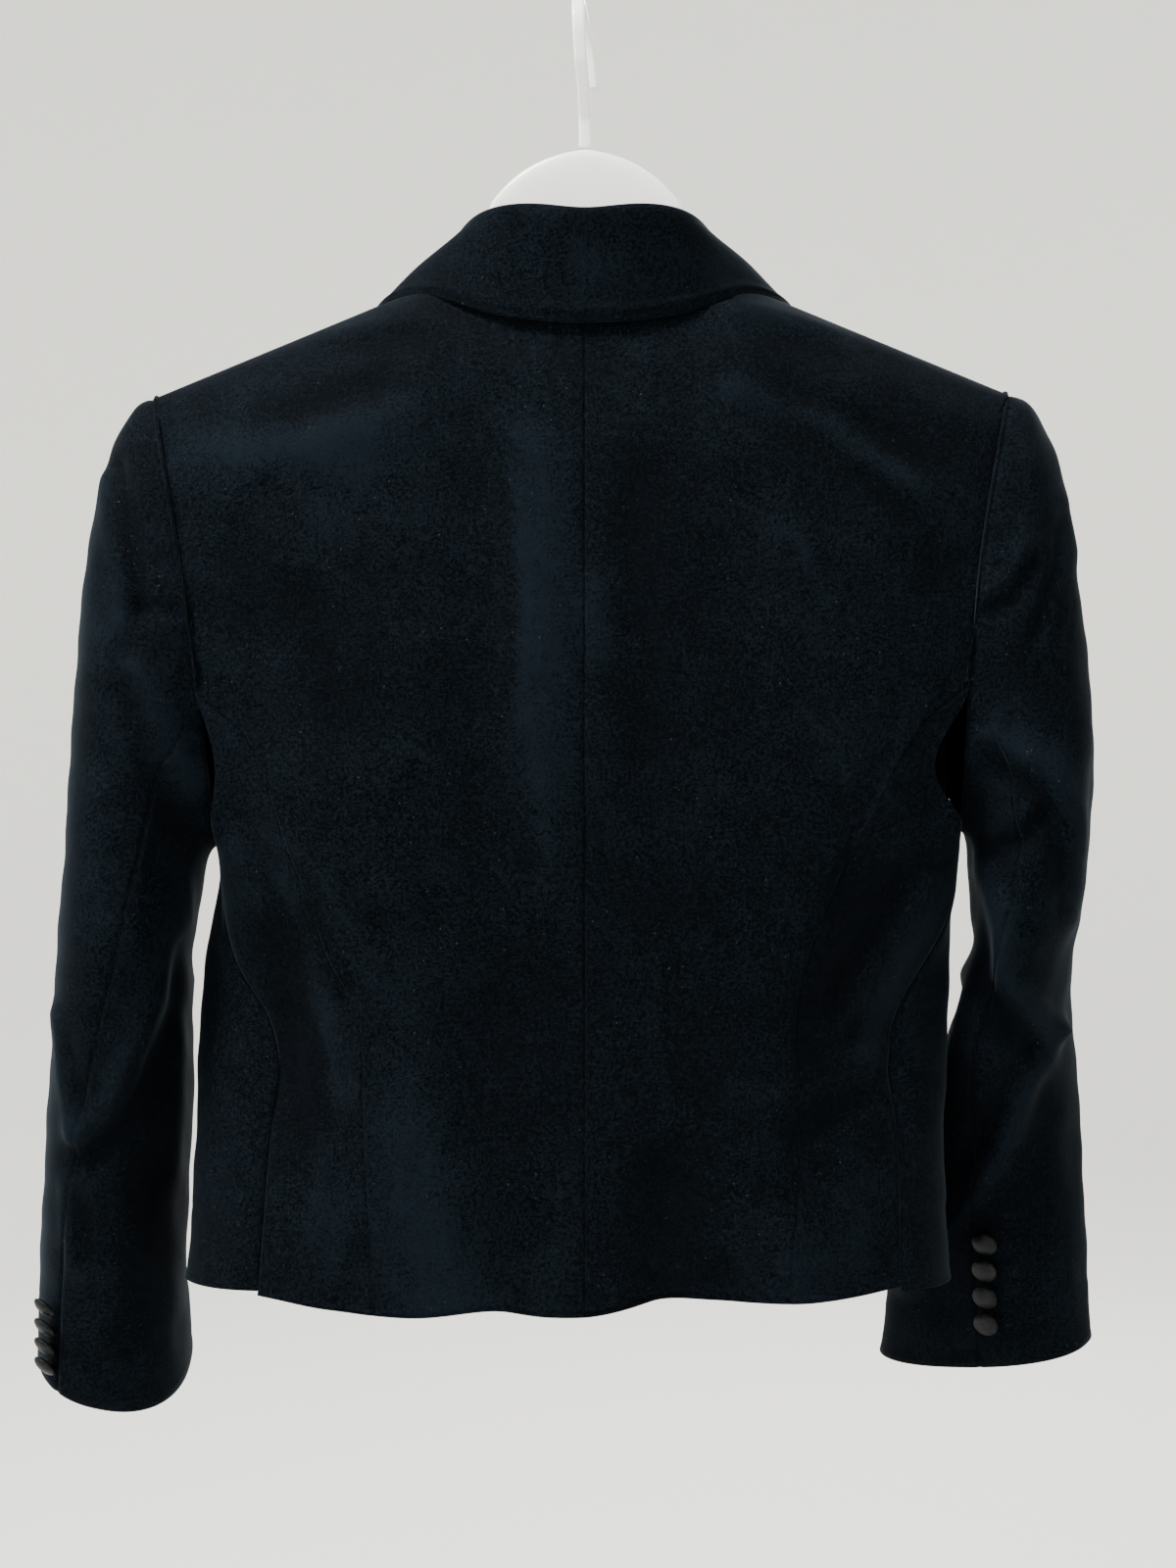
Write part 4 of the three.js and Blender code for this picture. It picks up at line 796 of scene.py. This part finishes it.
def collar_half(side, at):
    """Keys of the folded collar at stations round the neck: foot, roll and fall's edge."""
    mirror = 1 if side == "left" else -1
    quarter = np.clip(at / COLLAR_SIDE, 0, 1) * math.pi / 2
    x, y, z, _, _ = upper_edge(side, BACK_NECK * np.sin(quarter) * 0.99999, False)
    back_foot = np.stack([mirror * (x - COLLAR_FOOT["inward"]), y, z + COLLAR_FOOT["up"]], -1)
    front_z = mix(NECK["z"], COLLAR_END_Z, np.clip((at - COLLAR_SIDE) / (1 - COLLAR_SIDE), 0, 1))
    front_foot = front_point(side, np.ones(at.shape), front_z)
    front_foot = front_foot + np.array([-mirror * COLLAR_FOOT["edge"], 0, COLLAR_FOOT["up"]])
    behind = (at <= COLLAR_SIDE)[..., None]
    foot = np.where(behind, back_foot, front_foot)

    lift = COLLAR_CLOTH + LYING_GAP
    share = collar_column("share", at)
    drop = np.maximum(collar_column("drop", at), 0)
    back_z = upper_edge(side, share, False)[2] - drop
    back_normal = panel_normal(back_point, side, share, back_z, False)
    back_edge = back_point(side, share, back_z) + lift * back_normal
    side_share = collar_column("share", np.array(COLLAR_SIDE))
    start = mix(1, FRONT_TIP, (side_share - BACK_NECK) / (BACK_TIP - BACK_NECK))
    across = mix(start, COLLAR[-1][4], ease((at - COLLAR_SIDE) / (1 - COLLAR_SIDE)))
    edge_z = upper_edge(side, across, True)[2] - drop
    front_normal = panel_normal(front_point, side, across, edge_z, True)
    front_edge = front_point(side, across, edge_z) + lift * front_normal
    edge = np.where(behind, back_edge, front_edge)
    roll_x, roll_y, roll_z = (collar_column(f"roll_{axis}", at) for axis in "xyz")
    roll = np.stack([mirror * roll_x, roll_y, roll_z], -1)
    return foot, roll, edge


def collar_surface(around, up):
    """Cubic curves through seven keys from foot over the roll to the fall's edge."""
    at = np.minimum(np.abs(around), 1)
    left, right = collar_half("left", at), collar_half("right", at)
    foot, roll, edge = (np.where((around >= 0)[..., None], a, b) for a, b in zip(left, right))
    out = unit((edge - foot) * np.array([1, 1, 0]))
    form = COLLAR_ROLL
    down, up_halfway = np.array([0, 0, -form["drop"]]), np.array([0, 0, form["fall_up"]])
    keys = [
        foot, mix(foot, roll, form["stand_share"]) - form["stand"] * out,
        roll - form["inside"] * out + down, roll, roll + form["outside"] * out + down,
        mix(roll, edge, 0.5) + up_halfway + out, edge,
    ]
    keys = np.stack([keys[0], *keys, keys[-1]])
    place = np.clip(up, 0, 1) * 6
    index = np.minimum(np.floor(place).astype(int), 5)
    t = (place - index)[..., None]
    rows, columns = np.indices(index.shape)
    before, start, end, after = (keys[index + i, rows, columns] for i in range(4))
    return 0.5 * (
        2 * start + t * (end - before) + t ** 2 * (2 * before - 5 * start + 4 * end - after)
        + t ** 3 * (3 * (start - end) + after - before)
    )


def make_collar():
    """Stand and fall in one folded wall round the neck, with a thick soft edge."""
    around = np.linspace(-1, 1, 181)[:, None]
    stand, roll, fall = np.linspace(0, 0.3, 16), np.linspace(0.3, 0.72, 34), np.linspace(0.72, 1, 40)
    up = np.concatenate([stand, roll[1:], fall[1:]])[None, :]
    a, b = around + 0 * up, up + 0 * around
    points = collar_surface(a, b)
    points = mix(points, soften(points, 0, 90), ease((b - 0.15) / 0.3)[..., None])
    normal = -unit(np.cross(np.gradient(points, axis=0), np.gradient(points, axis=1)))
    fall = ease((b - 0.6) / 0.2)
    uneven = 0.9 * pucker(points[..., 0] * 1.4, points[..., 2] * 0.6, 21)
    relief = fall * (uneven - 0.6 * np.exp(-((b - 0.955) / 0.012) ** 2))
    relief = relief + seam_ditch(np.abs(points[..., 0]), 0.4, 1.6) * fall
    outer = points + normal * relief[..., None]
    x, z = points[..., 0], points[..., 2]
    # Random nap tone, painted shade towards the fall's edge, and the collar's painted highlights.
    nap_and_painted_light = 0.46 + 0.2 * pucker(x, z, 23, 6) - 0.2 * ease((b - 0.94) / 0.06)
    nap_and_painted_light = nap_and_painted_light + creases(COLLAR_PAINTED_LIGHT, x, z)
    return wall("velvet_collar", outer, outer - normal * COLLAR_CLOTH, nap_and_painted_light)


def sleeve_table(side):
    """The sleeve's rings with their index as a last column."""
    return [row + (index,) for index, row in enumerate(SLEEVE[side])]


def sleeve_point(side, along, angle):
    """Squared ovals between an outer and an inner point, a ring for each place along the arm."""
    rows = sleeve_table(side)

    def row(wanted):
        return column(rows, SLEEVE_COLUMNS, "index", wanted, along)

    middle = [(row(f"out_{axis}") + row(f"in_{axis}")) / 2 for axis in "xyz"]
    reach = [(row(f"out_{axis}") - row(f"in_{axis}")) / 2 for axis in "xyz"]
    square = mix(2, PLUMP, np.clip(along / 4, 0, 1))
    cos = np.sign(np.cos(angle)) * np.abs(np.cos(angle)) ** (2 / square)
    sin = np.sign(np.sin(angle)) * np.abs(np.sin(angle)) ** (2 / square)
    turn = np.radians(row("turn"))
    half = row("half")
    hollow = ARMHOLE[side]["hollow"] * np.sin(angle) ** 2 * np.clip(1 - along, 0, 1)
    x = middle[0] + reach[0] * cos - half * sin * np.sin(turn) - hollow
    y = middle[1] + reach[1] * cos + half * sin * np.cos(turn)
    z = middle[2] + reach[2] * cos - row("tilt") * sin
    mirror = 1 if side == "left" else -1
    return np.stack([mirror * (x + ARMHOLE_GAP), y, z], -1)


def sleeve_normal(side, along, angle):
    """Outward unit vectors of a sleeve, from small steps along it and round it."""
    last = len(SLEEVE[side]) - 1
    step = 0.02
    inner = np.clip(along, step, last - step)
    down = sleeve_point(side, inner + step, angle) - sleeve_point(side, inner - step, angle)
    round_arm = sleeve_point(side, inner, angle + step) - sleeve_point(side, inner, angle - step)
    normal = unit(np.cross(down, round_arm))
    outer_point = sleeve_point(side, inner, 0 * angle)
    middle = (outer_point + sleeve_point(side, inner, 0 * angle + math.pi)) / 2
    outward = sleeve_point(side, inner, angle) - middle
    return normal * np.where(np.sum(normal * outward, -1, keepdims=True) < 0, -1, 1)


def sleeve_piece(name, side, columns, start_at, end_at, seed):
    """Part of a sleeve between two seams, with its creases on the back and on the front."""
    last = len(SLEEVE[side]) - 1
    along = last * np.linspace(0, 1, 170)[:, None]
    share = close_to_edges(columns, 0.6)[None, :]
    angle = mix(start_at(along), end_at(along), share)
    along = along + 0 * angle
    points, normal = sleeve_point(side, along, angle), sleeve_normal(side, along, angle)
    x, z = points[..., 0], points[..., 2]
    facing_back = ease(normal[..., 1] / 0.5 + 0.3)
    facing_front = ease(-normal[..., 1] / 0.5 + 0.3)
    settle = ease(along / 0.35) * ease((last - along) / 0.5)
    relief = creases(SLEEVE_CREASES[side], x, z) * facing_back
    relief = relief + creases(SLEEVE_FRONT_CREASES[side], x, z) * facing_front
    relief = relief * settle
    first, final = from_edges(points)
    edge = np.minimum(first, final)
    relief = relief + 1.2 * pucker(x + points[..., 1], z, seed) * ease(edge / 12) * settle
    # Painted light and shade: ridges of the relief lighter and hollows darker, random nap tone, the
    # sleeve's painted light table on the side that faces the back, and painted shade along the seams.
    nap_and_painted_light = 0.42 + 0.11 * relief + 0.15 * pucker(x + points[..., 1], z, seed + 1, 3.0)
    nap_and_painted_light = nap_and_painted_light + creases(SLEEVE_PAINTED_LIGHT[side], x, z) * facing_back - 0.12 * np.exp(-(edge / 2) ** 2)
    top_ditch = seam_ditch(np.linalg.norm(points - points[:1], axis=-1), 0.6, 2.0)
    cuff = np.linalg.norm(points - points[-1:], axis=-1)
    relief = relief + seam_ditch(edge, 0.7) + top_ditch
    relief = relief + 0.4 * ease(1 - cuff / 4)
    relief = relief - 0.3 * np.exp(-((cuff - CUFF_TURN_UP["line"]) / 2.5) ** 2)
    outer = points + normal * relief[..., None]
    thick = CLOTH + 0.6 * ease(1 - cuff / CUFF_TURN_UP["thick"])
    return wall(name, outer, outer - normal * thick[..., None], nap_and_painted_light)


def make_sleeves(side):
    """Upper and under sleeve, parted at the inseam and at the hind seam."""
    rows = sleeve_table(side)
    gap = SEAM_GAP / 2 / SLEEVE_RADIUS
    inseam = math.radians(INSEAM)

    def hind(along):
        return np.radians(column(rows, SLEEVE_COLUMNS, "index", "hind", along))

    upper = sleeve_piece(
        f"velvet_upper_sleeve_{side}", side, 120,
        lambda along: inseam + gap + 0 * along, lambda along: hind(along) - gap, 31,
    )
    under = sleeve_piece(
        f"velvet_under_sleeve_{side}", side, 80,
        lambda along: hind(along) + gap, lambda along: 2 * math.pi + inseam - gap + 0 * along, 37,
    )
    return upper, under


def lathe(profile, sides):
    """Solid of revolution about +Z: rows are profile points, closed at both poles."""
    angle = np.linspace(0, 2 * math.pi, sides, endpoint=False)
    rings = np.stack([
        profile[1:-1, None, 0] * np.cos(angle), profile[1:-1, None, 0] * np.sin(angle),
        profile[1:-1, None, 1] + 0 * angle,
    ], -1)
    poles = [[0, 0, profile[0, 1]], [0, 0, profile[-1, 1]]]
    points = np.concatenate([rings.reshape(-1, 3), poles])
    quads, fans = tube_faces(len(rings), sides)
    return points, quads.tolist() + fans.tolist()


def covered_button(name, button, point, normal, downward, lean_degrees):
    """Domed disc with cloth gathered under its rim, set off the sleeve and leaning down."""
    radius, thick = button["radius"], button["thick"]
    angle = np.linspace(-0.25, 1, 22) * math.pi / 2
    dome_x = np.maximum(radius * np.cos(angle), 0)
    dome_z = thick * (0.35 + 0.65 * np.sin(np.maximum(angle, 0)))
    dome_z = dome_z + np.minimum(angle, 0) * thick * 0.5
    dome_x[-1] = 0
    foot = np.array([[0, 0], [radius * button["foot"] * 0.96, 0], [radius * button["foot"], 0.02]])
    profile = np.concatenate([foot, np.stack([dome_x, dome_z], -1)])
    points, faces = lathe(profile, 56)
    spoke = np.arctan2(points[:, 1], points[:, 0])
    reach = np.hypot(points[:, 0], points[:, 1]) / radius
    rim = np.clip(reach - 0.82, 0, 1) * 5 * (points[:, 2] > 0.5)
    points[:, 2] = points[:, 2] + 0.05 * np.cos(28 * spoke) * rim
    lean = math.radians(lean_degrees)
    axis = unit(normal * math.cos(lean) + downward * math.sin(lean))
    side = unit(np.cross(axis, [0.3, 0.2, 1.0]))
    other = np.cross(axis, side)
    stand = button["stand"] + radius * button["foot"] * math.sin(lean)
    placed = point + normal * stand
    placed = placed + points[:, :1] * side + points[:, 1:2] * other + points[:, 2:] * axis
    return make_mesh(name, placed, faces)


def sleeve_along_at(side, z, angle):
    """Place along the sleeve that lies at a height, by halving the interval."""
    low, high = 4.0, len(SLEEVE[side]) - 1.0
    for _ in range(24):
        middle = (low + high) / 2
        above = sleeve_point(side, np.array(middle), np.array(angle))[2] > z
        low, high = (middle, high) if above else (low, middle)
    return low


def make_cuff_buttons(side):
    """A row of covered buttons up the hind seam, each seated on the sleeve's surface."""
    row = CUFF_ROW[side]
    last = len(SLEEVE[side]) - 1
    rows = sleeve_table(side)
    hind = float(column(rows, SLEEVE_COLUMNS, "index", "hind", np.array(last - 0.5)))
    angle = np.array(math.radians(hind + row["hind_offset"]))
    made = []
    for k in range(CUFF_BUTTON["count"]):
        along = np.array(sleeve_along_at(side, row["first_z"] - row["pitch"] * k, angle))
        point = sleeve_point(side, along, angle)
        normal = sleeve_normal(side, along, angle)
        downward = unit(sleeve_point(side, along + 0.05, angle) - point)
        name = f"satin_cuff_button_{side}_{k + 1}"
        made.append(covered_button(name, CUFF_BUTTON, point, normal, downward, row["lean"]))
    return made


def make_front_button():
    """The closed front's button, on the centre line of the right front."""
    z = np.array([[float(FRONT_BUTTON["z"])]])
    share = front_share_at("right", np.array([[0.5]]), z)
    point = front_point("right", share, z)[0, 0]
    normal = panel_normal(front_point, "right", share, z, True)[0, 0]
    downward = np.array([0, 0, -1.0])
    return covered_button("satin_front_button", FRONT_BUTTON, point, normal, downward, 0)


def loft(name, rings):
    """Closed solid from rows of closed rings, its ends filled from their middles."""
    ends = np.stack([rings[0].mean(0), rings[-1].mean(0)])
    points = np.concatenate([rings.reshape(-1, 3), ends])
    quads, fans = tube_faces(*rings.shape[:2])
    piece = make_mesh(name, points, quads.tolist() + fans.tolist())
    a, b, c = (points[quads[:, i]] for i in range(3))
    if np.sum(a * np.cross(b, c)) < 0:
        piece.data.flip_normals()
        piece.data.update()
    return piece


def quadratic(a, b, c, count):
    """Points of a curve from a to c that b pulls towards itself."""
    t = np.linspace(0, 1, count)[:, None]
    a, b, c = (np.array(p, float) for p in (a, b, c))
    return (1 - t) ** 2 * a + 2 * t * (1 - t) * b + t ** 2 * c


def hanger_half(side):
    """Upper and lower lines of one half of the hanger, as functions of the distance outwards."""
    hole = ARMHOLE[side]
    share = 1 - HANGER["tip_short"] / (hole["tip_x"] - NECK["half_width"])
    tip_x = mix(NECK["half_width"], hole["tip_x"], share)
    tip_z = mix(NECK["z"], hole["tip_z"], share) - HANGER["under_cloth"]
    neck_z = NECK["z"] - HANGER["under_cloth"]
    top, arch = (0, HANGER["top_z"]), (HANGER["arch_x"], HANGER["arch_z"])
    neck, tip = (NECK["half_width"] - 2, neck_z), (tip_x, tip_z)
    upper = np.concatenate([
        quadratic(top, (30, HANGER["top_z"] - 3), arch, 40),
        quadratic(arch, (50, -120), neck, 30)[1:],
        quadratic(neck, (130, mix(neck_z, tip_z, 0.49)), tip, 40)[1:],
    ])
    lower = np.concatenate([
        quadratic((0, -118), (40, -118), (62, -146), 40),
        quadratic((62, -146), (100, -166), (tip_x - 4, tip_z - HANGER["tip_drop"]), 60)[1:],
        np.array([[tip_x, tip_z - HANGER["tip_drop"] / 2]]),
    ])
    return upper, lower, tip_x


def make_hanger():
    """Moulded hanger: at each place across, a rounded slab between the lower and upper lines."""
    rings = []
    angle = np.linspace(0, 2 * math.pi, 40, endpoint=False)
    square = 2 / 5.5
    unit_y = np.sign(np.cos(angle)) * np.abs(np.cos(angle)) ** square
    unit_z = np.sign(np.sin(angle)) * np.abs(np.sin(angle)) ** square
    for side, mirror in (("right", -1), ("left", 1)):
        upper, lower, tip_x = hanger_half(side)
        straight = tip_x - HANGER["tip_round"]
        tip = HANGER["tip_round"] * np.sin(np.linspace(0, 1, 14)[1:] * math.pi / 2)
        reach = np.concatenate([np.linspace(0, 1, 90) * straight, straight + tip])
        high = np.interp(reach, upper[:, 0], upper[:, 1])
        low = np.interp(reach, lower[:, 0], lower[:, 1])
        past = np.clip(reach - straight, 0, HANGER["tip_round"])
        close = np.sqrt(np.clip(1 - (past / (HANGER["tip_round"] + 0.3)) ** 2, 0.05, 1))
        middle, half = (high + low) / 2, (high - low) / 2 * close
        half_thick = HANGER["thick"] / 2 * mix(0.55, 1, close)
        ring = np.stack([
            mirror * reach[:, None] + 0 * angle,
            half_thick[:, None] * unit_y,
            middle[:, None] + half[:, None] * unit_z,
        ], -1)
        rings.append(ring[::-1] if side == "right" else ring[1:])
    return loft("plain_hanger", np.concatenate(rings))


def make_hook():
    """Flat strip with rounded edges along a route that rises, bends over and ends."""
    middle = HOOK["inside_radius"] + HOOK["thick"] / 2
    route = [
        (0, 0, HOOK["foot_z"]), (0, 0.5, HOOK["bend_z"] - 8),
        (0.5, 6, HOOK["bend_z"] + 4), (2, 14, -30),
    ]
    for t in np.linspace(0, 1, 11):
        turn = math.pi * t
        route.append((
            mix(3, -1, t) + 2 * math.sin(turn), middle * math.cos(turn),
            -HOOK["inside_radius"] + middle * math.sin(turn),
        ))
    route.append((-3, -middle, HOOK["end_z"]))
    route = np.array(route, float)
    run = np.insert(np.cumsum(np.linalg.norm(np.diff(route, axis=0), axis=1)), 0, 0)
    fine = np.linspace(0, run[-1], 160)
    path = np.stack([np.interp(fine, run, route[:, axis]) for axis in range(3)], -1)
    for _ in range(6):
        path[1:-1] = (path[:-2] + 2 * path[1:-1] + path[2:]) / 4
    along = unit(np.gradient(path, axis=0) * np.array([0, 1, 1]))
    normal = np.stack([0 * along[:, 0], along[:, 2], -along[:, 1]], -1)
    angle = np.linspace(0, 2 * math.pi, 28, endpoint=False)
    wide = np.sign(np.cos(angle)) * np.abs(np.cos(angle)) ** 0.45 * HOOK["width"] / 2
    deep = np.sign(np.sin(angle)) * np.abs(np.sin(angle)) ** 0.45 * HOOK["thick"] / 2
    rings = path[:, None] + deep[None, :, None] * normal[:, None]
    rings[..., 0] = rings[..., 0] + wide
    return loft("plain_hook", rings)


class Wire:
    """A shader socket that adds its Math nodes when it is used in an expression."""

    def __init__(self, finish, socket):
        self.finish, self.socket = finish, socket

    def _math(self, operation, first, second):
        return self.finish.add("ShaderNodeMath", {"operation": operation}, {0: first, 1: second})

    def __add__(self, other):
        return self._math("ADD", self, other)

    __radd__ = __add__

    def __sub__(self, other):
        return self._math("SUBTRACT", self, other)

    def __rsub__(self, other):
        return self._math("SUBTRACT", other, self)

    def __mul__(self, other):
        return self._math("MULTIPLY", self, other)

    __rmul__ = __mul__


class Finish:
    """A material whose nodes are all made by one method."""

    def __init__(self, name):
        self.material = bpy.data.materials.new(name)
        self.material.use_nodes = True
        self.nodes = self.material.node_tree.nodes
        self.nodes.clear()

    def add(self, kind, settings, sockets, output=0):
        """A node with its settings and its sockets, given back as a wire from one output."""
        node = self.nodes.new(kind)
        for name, value in settings.items():
            setattr(node, name, value)
        for name, value in sockets.items():
            if isinstance(value, Wire):
                self.material.node_tree.links.new(value.socket, node.inputs[name])
            else:
                node.inputs[name].default_value = value
        return Wire(self, node.outputs[output]) if node.outputs else None

    def place(self):
        """Object coordinates."""
        return self.add("ShaderNodeTexCoord", {}, {}, 3)

    def noise(self, place, scale, detail, roughness=0.5):
        """Layered noise."""
        sockets = {"Vector": place, "Scale": scale, "Detail": detail, "Roughness": roughness}
        return self.add("ShaderNodeTexNoise", {}, sockets)

    def threads(self, place, direction, scale, distortion):
        """Parallel waves across one axis."""
        sockets = {"Vector": place, "Scale": scale, "Distortion": distortion}
        return self.add("ShaderNodeTexWave", {"bands_direction": direction}, sockets)

    def bump(self, height, strength, distance):
        """Small relief for the Normal socket."""
        sockets = {"Height": height, "Strength": strength, "Distance": distance}
        return self.add("ShaderNodeBump", {}, sockets)

    def step(self, value, low, high):
        """0 below low, 1 above high, smooth between."""
        return self.add(
            "ShaderNodeMapRange", {"interpolation_type": "SMOOTHSTEP"},
            {"Value": value, "From Min": low, "From Max": high},
        )

    def blend(self, share, first, second):
        """Colour mix from first to second."""
        node = self.nodes.new("ShaderNodeMix")
        node.data_type = "RGBA"
        for index, value in ((0, share), (6, first), (7, second)):
            if isinstance(value, Wire):
                self.material.node_tree.links.new(value.socket, node.inputs[index])
            else:
                node.inputs[index].default_value = value
        return Wire(self, node.outputs[2])

    def surface(self, sockets):
        """The finished material."""
        shader = self.add("ShaderNodeBsdfPrincipled", {}, sockets)
        self.add("ShaderNodeOutputMaterial", {}, {"Surface": shader})
        return self.material


def velvet_finish():
    """Near black pile with blue-grey patches of random nap tone and of painted light and shade,
    brushed streaks, lint and a sheen.
    """
    finish = Finish("black velvet")
    place = finish.place()
    streak_place = finish.add("ShaderNodeMapping", {}, {"Vector": place, "Scale": (26, 26, 9)})
    patches = finish.noise(place, 22, 4, 0.6)
    streaks = finish.noise(streak_place, 1, 5, 0.6)
    pile = finish.noise(place, 760, 3, 0.8)
    coarse_pile = finish.noise(place, 420, 2)
    cells = finish.add("ShaderNodeTexVoronoi", {}, {"Vector": place, "Scale": 210})
    sparse = finish.noise(place, 37, 3)
    # The stored attribute holds painted light and shade with random nap tone; noise adds random
    # patches and streaks.
    painted_light_and_nap = finish.add("ShaderNodeAttribute", {"attribute_name": "nap_and_painted_light"}, {}, 2)
    nap_and_painted_light = painted_light_and_nap + (patches - 0.5) * 0.5 + (streaks - 0.5) * 0.45 + (pile - 0.5) * 3
    nap_and_painted_light = finish.step(nap_and_painted_light, 0.16, 1.0)
    grain = finish.step(pile, 0.35, 0.7)
    # Colour from near black to blue-grey by the nap tone and the painted light and shade.
    cloth = finish.blend(nap_and_painted_light, (0, 0.0002, 0.0007, 1), (0.0026, 0.0047, 0.0073, 1))
    cloth = finish.blend(grain * 0.3, cloth, (0.0046, 0.0078, 0.0108, 1))
    lint = (1 - finish.step(cells, 0.045, 0.09)) * finish.step(sparse, 0.47, 0.6)
    colour = finish.blend(lint * 0.5, cloth, (0.05, 0.065, 0.075, 1))
    height = pile * 0.5 + coarse_pile * 0.7 + streaks * 0.6
    bump = finish.bump(height, 0.35, 0.0006)
    return finish.surface({
        "Base Color": colour, "Roughness": 0.86 + 0.1 * grain, "Normal": bump,
        "Sheen Weight": 0.1, "Sheen Roughness": 0.34, "Sheen Tint": (0.23, 0.31, 0.38, 1),
        "Specular IOR Level": 0.03,
    })


def satin_finish():
    """Dark satin over a button: fine crossed threads and a soft gloss."""
    finish = Finish("dark satin")
    place = finish.place()
    warp = finish.threads(place, "X", 900, 1.5)
    weft = finish.threads(place, "Z", 420, 2.0)
    wear = finish.noise(place, 260, 3)
    worn = finish.step(wear, 0.4, 0.7)
    colour = finish.blend(worn, (0.001, 0.0014, 0.0018, 1), (0.005, 0.0058, 0.0065, 1))
    bump = finish.bump(warp * 0.6 + weft * 0.4, 0.25, 0.0002)
    return finish.surface({
        "Base Color": colour, "Roughness": 0.42 + 0.14 * wear, "Normal": bump,
        "Specular IOR Level": 0.1,
    })


def hanger_finish(name, roughness):
    """Moulded white with faint flow marks."""
    finish = Finish(name)
    place = finish.place()
    flow = finish.noise(place, 30, 3)
    fine = finish.noise(place, 700, 2)
    marks = finish.step(flow, 0.35, 0.75)
    colour = finish.blend(marks, (0.86, 0.86, 0.82, 1), (0.92, 0.92, 0.885, 1))
    bump = finish.bump(flow * 0.6 + fine * 0.2, 0.08, 0.0005)
    return finish.surface({
        "Base Color": colour, "Roughness": roughness + 0.08 * fine, "Normal": bump,
        "Coat Weight": 0.4, "Coat Roughness": 0.08,
    })


def plain_finish(name, colour, roughness):
    """One colour all over."""
    finish = Finish(name)
    return finish.surface({"Base Color": colour, "Roughness": roughness})


def declare(piece, node, finish):
    """Gives a piece its finish and its place in the frame, and hides the CAD part of that name."""
    piece.data.materials.append(finish)
    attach(piece, "root")
    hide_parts(node)


def make_blazer():
    """Every sewn piece and button, in one velvet and one satin."""
    velvet, satin = velvet_finish(), satin_finish()

    def sew(piece, kind, side):
        declare(piece, f"{kind}_{side}", velvet)

    for side in ("left", "right"):
        sew(make_back(side), "back", side)
        sew(make_side_back(side), "side_back", side)
        sew(make_front(side), "front", side)
        sew(make_lapel(side), "lapel", side)
        upper, under = make_sleeves(side)
        sew(upper, "upper_sleeve", side)
        sew(under, "under_sleeve", side)
        for k, button in enumerate(make_cuff_buttons(side)):
            declare(button, f"cuff_button_{side}_{k + 1}", satin)
    declare(make_collar(), "collar", velvet)
    declare(make_front_button(), "front_button", satin)


def make_holder():
    """The hanger and its hook."""
    hanger, moulding = make_hanger(), hanger_finish("white moulding", 0.16)
    declare(hanger, "hanger_body", moulding)
    hook, strip = make_hook(), hanger_finish("white painted strip", 0.2)
    declare(hook, "hanger_hook", strip)


def make_stage():
    """A pale floor that curves up into a round backdrop, so every side has the same ground."""
    floor_z, radius, bend = -1.15, 4.2, 1.2
    t = np.linspace(0, math.pi / 2, 24)
    profile = np.concatenate([
        [[0.01, floor_z], [1.5, floor_z]],
        np.stack([radius - bend + bend * np.sin(t), floor_z + bend - bend * np.cos(t)], -1),
        [[radius, 5.0]],
    ])
    around = 96
    angle = np.linspace(0, 2 * math.pi, around, endpoint=False)
    out, up = profile[:, None, 0], profile[:, None, 1]
    points = np.stack([out * np.cos(angle), out * np.sin(angle), up + 0 * angle], -1)
    quads, _ = tube_faces(len(profile), around)
    backdrop = make_mesh("backdrop", points.reshape(-1, 3) / MM, quads.tolist())
    backdrop.data.materials.append(plain_finish("pale ground", (0.9, 0.893, 0.85, 1), 0.9))


def add_light(name, place, target, size, watts, colour):
    """A round lamp at a place, turned to a target."""
    data = bpy.data.lights.new(name, "AREA")
    data.shape, data.size, data.energy, data.color = "DISK", size, watts, colour
    light = bpy.data.objects.new(name, data)
    bpy.context.collection.objects.link(light)
    light.location = place
    away = np.array(place) - np.array(target)
    flat = math.hypot(away[0], away[1])
    heading = math.atan2(away[1], away[0]) + math.pi / 2
    light.rotation_euler = (math.atan2(flat, away[2]), 0, heading)


def make_light():
    """Three lamps that aim at the middle of the garment, and a pale world."""
    middle = (0, 0, -0.35)
    add_light("overhead", (0.8, 0.6, 1.5), middle, 0.8, 120, (1, 0.99, 0.97))
    add_light("left of the camera", (2.2, 1.6, 0.4), middle, 1.0, 50, (1, 1, 1))
    add_light("front fill", (-0.6, -2.6, 0.9), middle, 2.0, 60, (1, 1, 1))
    world = bpy.data.worlds.new("pale room")
    world.use_nodes = True
    background = world.node_tree.nodes["Background"]
    background.inputs["Color"].default_value = (0.93, 0.95, 1, 1)
    background.inputs["Strength"].default_value = 1.2
    bpy.context.scene.world = world


def make_camera():
    """Level, square to the back, at the photograph's distance and framing."""
    scale = PHOTO["mm_per_px"]
    data = bpy.data.cameras.new("camera")
    data.sensor_fit, data.sensor_width = "AUTO", 36
    data.lens = PHOTO["distance"] / scale * 36 / PHOTO["height"]
    camera = bpy.data.objects.new("camera", data)
    bpy.context.collection.objects.link(camera)
    x = -(PHOTO["width"] / 2 - PHOTO["axis_x"]) * scale
    z = -(PHOTO["height"] / 2 - PHOTO["origin_y"]) * scale
    camera.location = (x * MM, PHOTO["distance"] * MM, z * MM)
    camera.rotation_euler = (math.pi / 2, 0, math.pi)
    bpy.context.scene.camera = camera


make_blazer()
make_holder()
make_stage()
make_light()
make_camera()
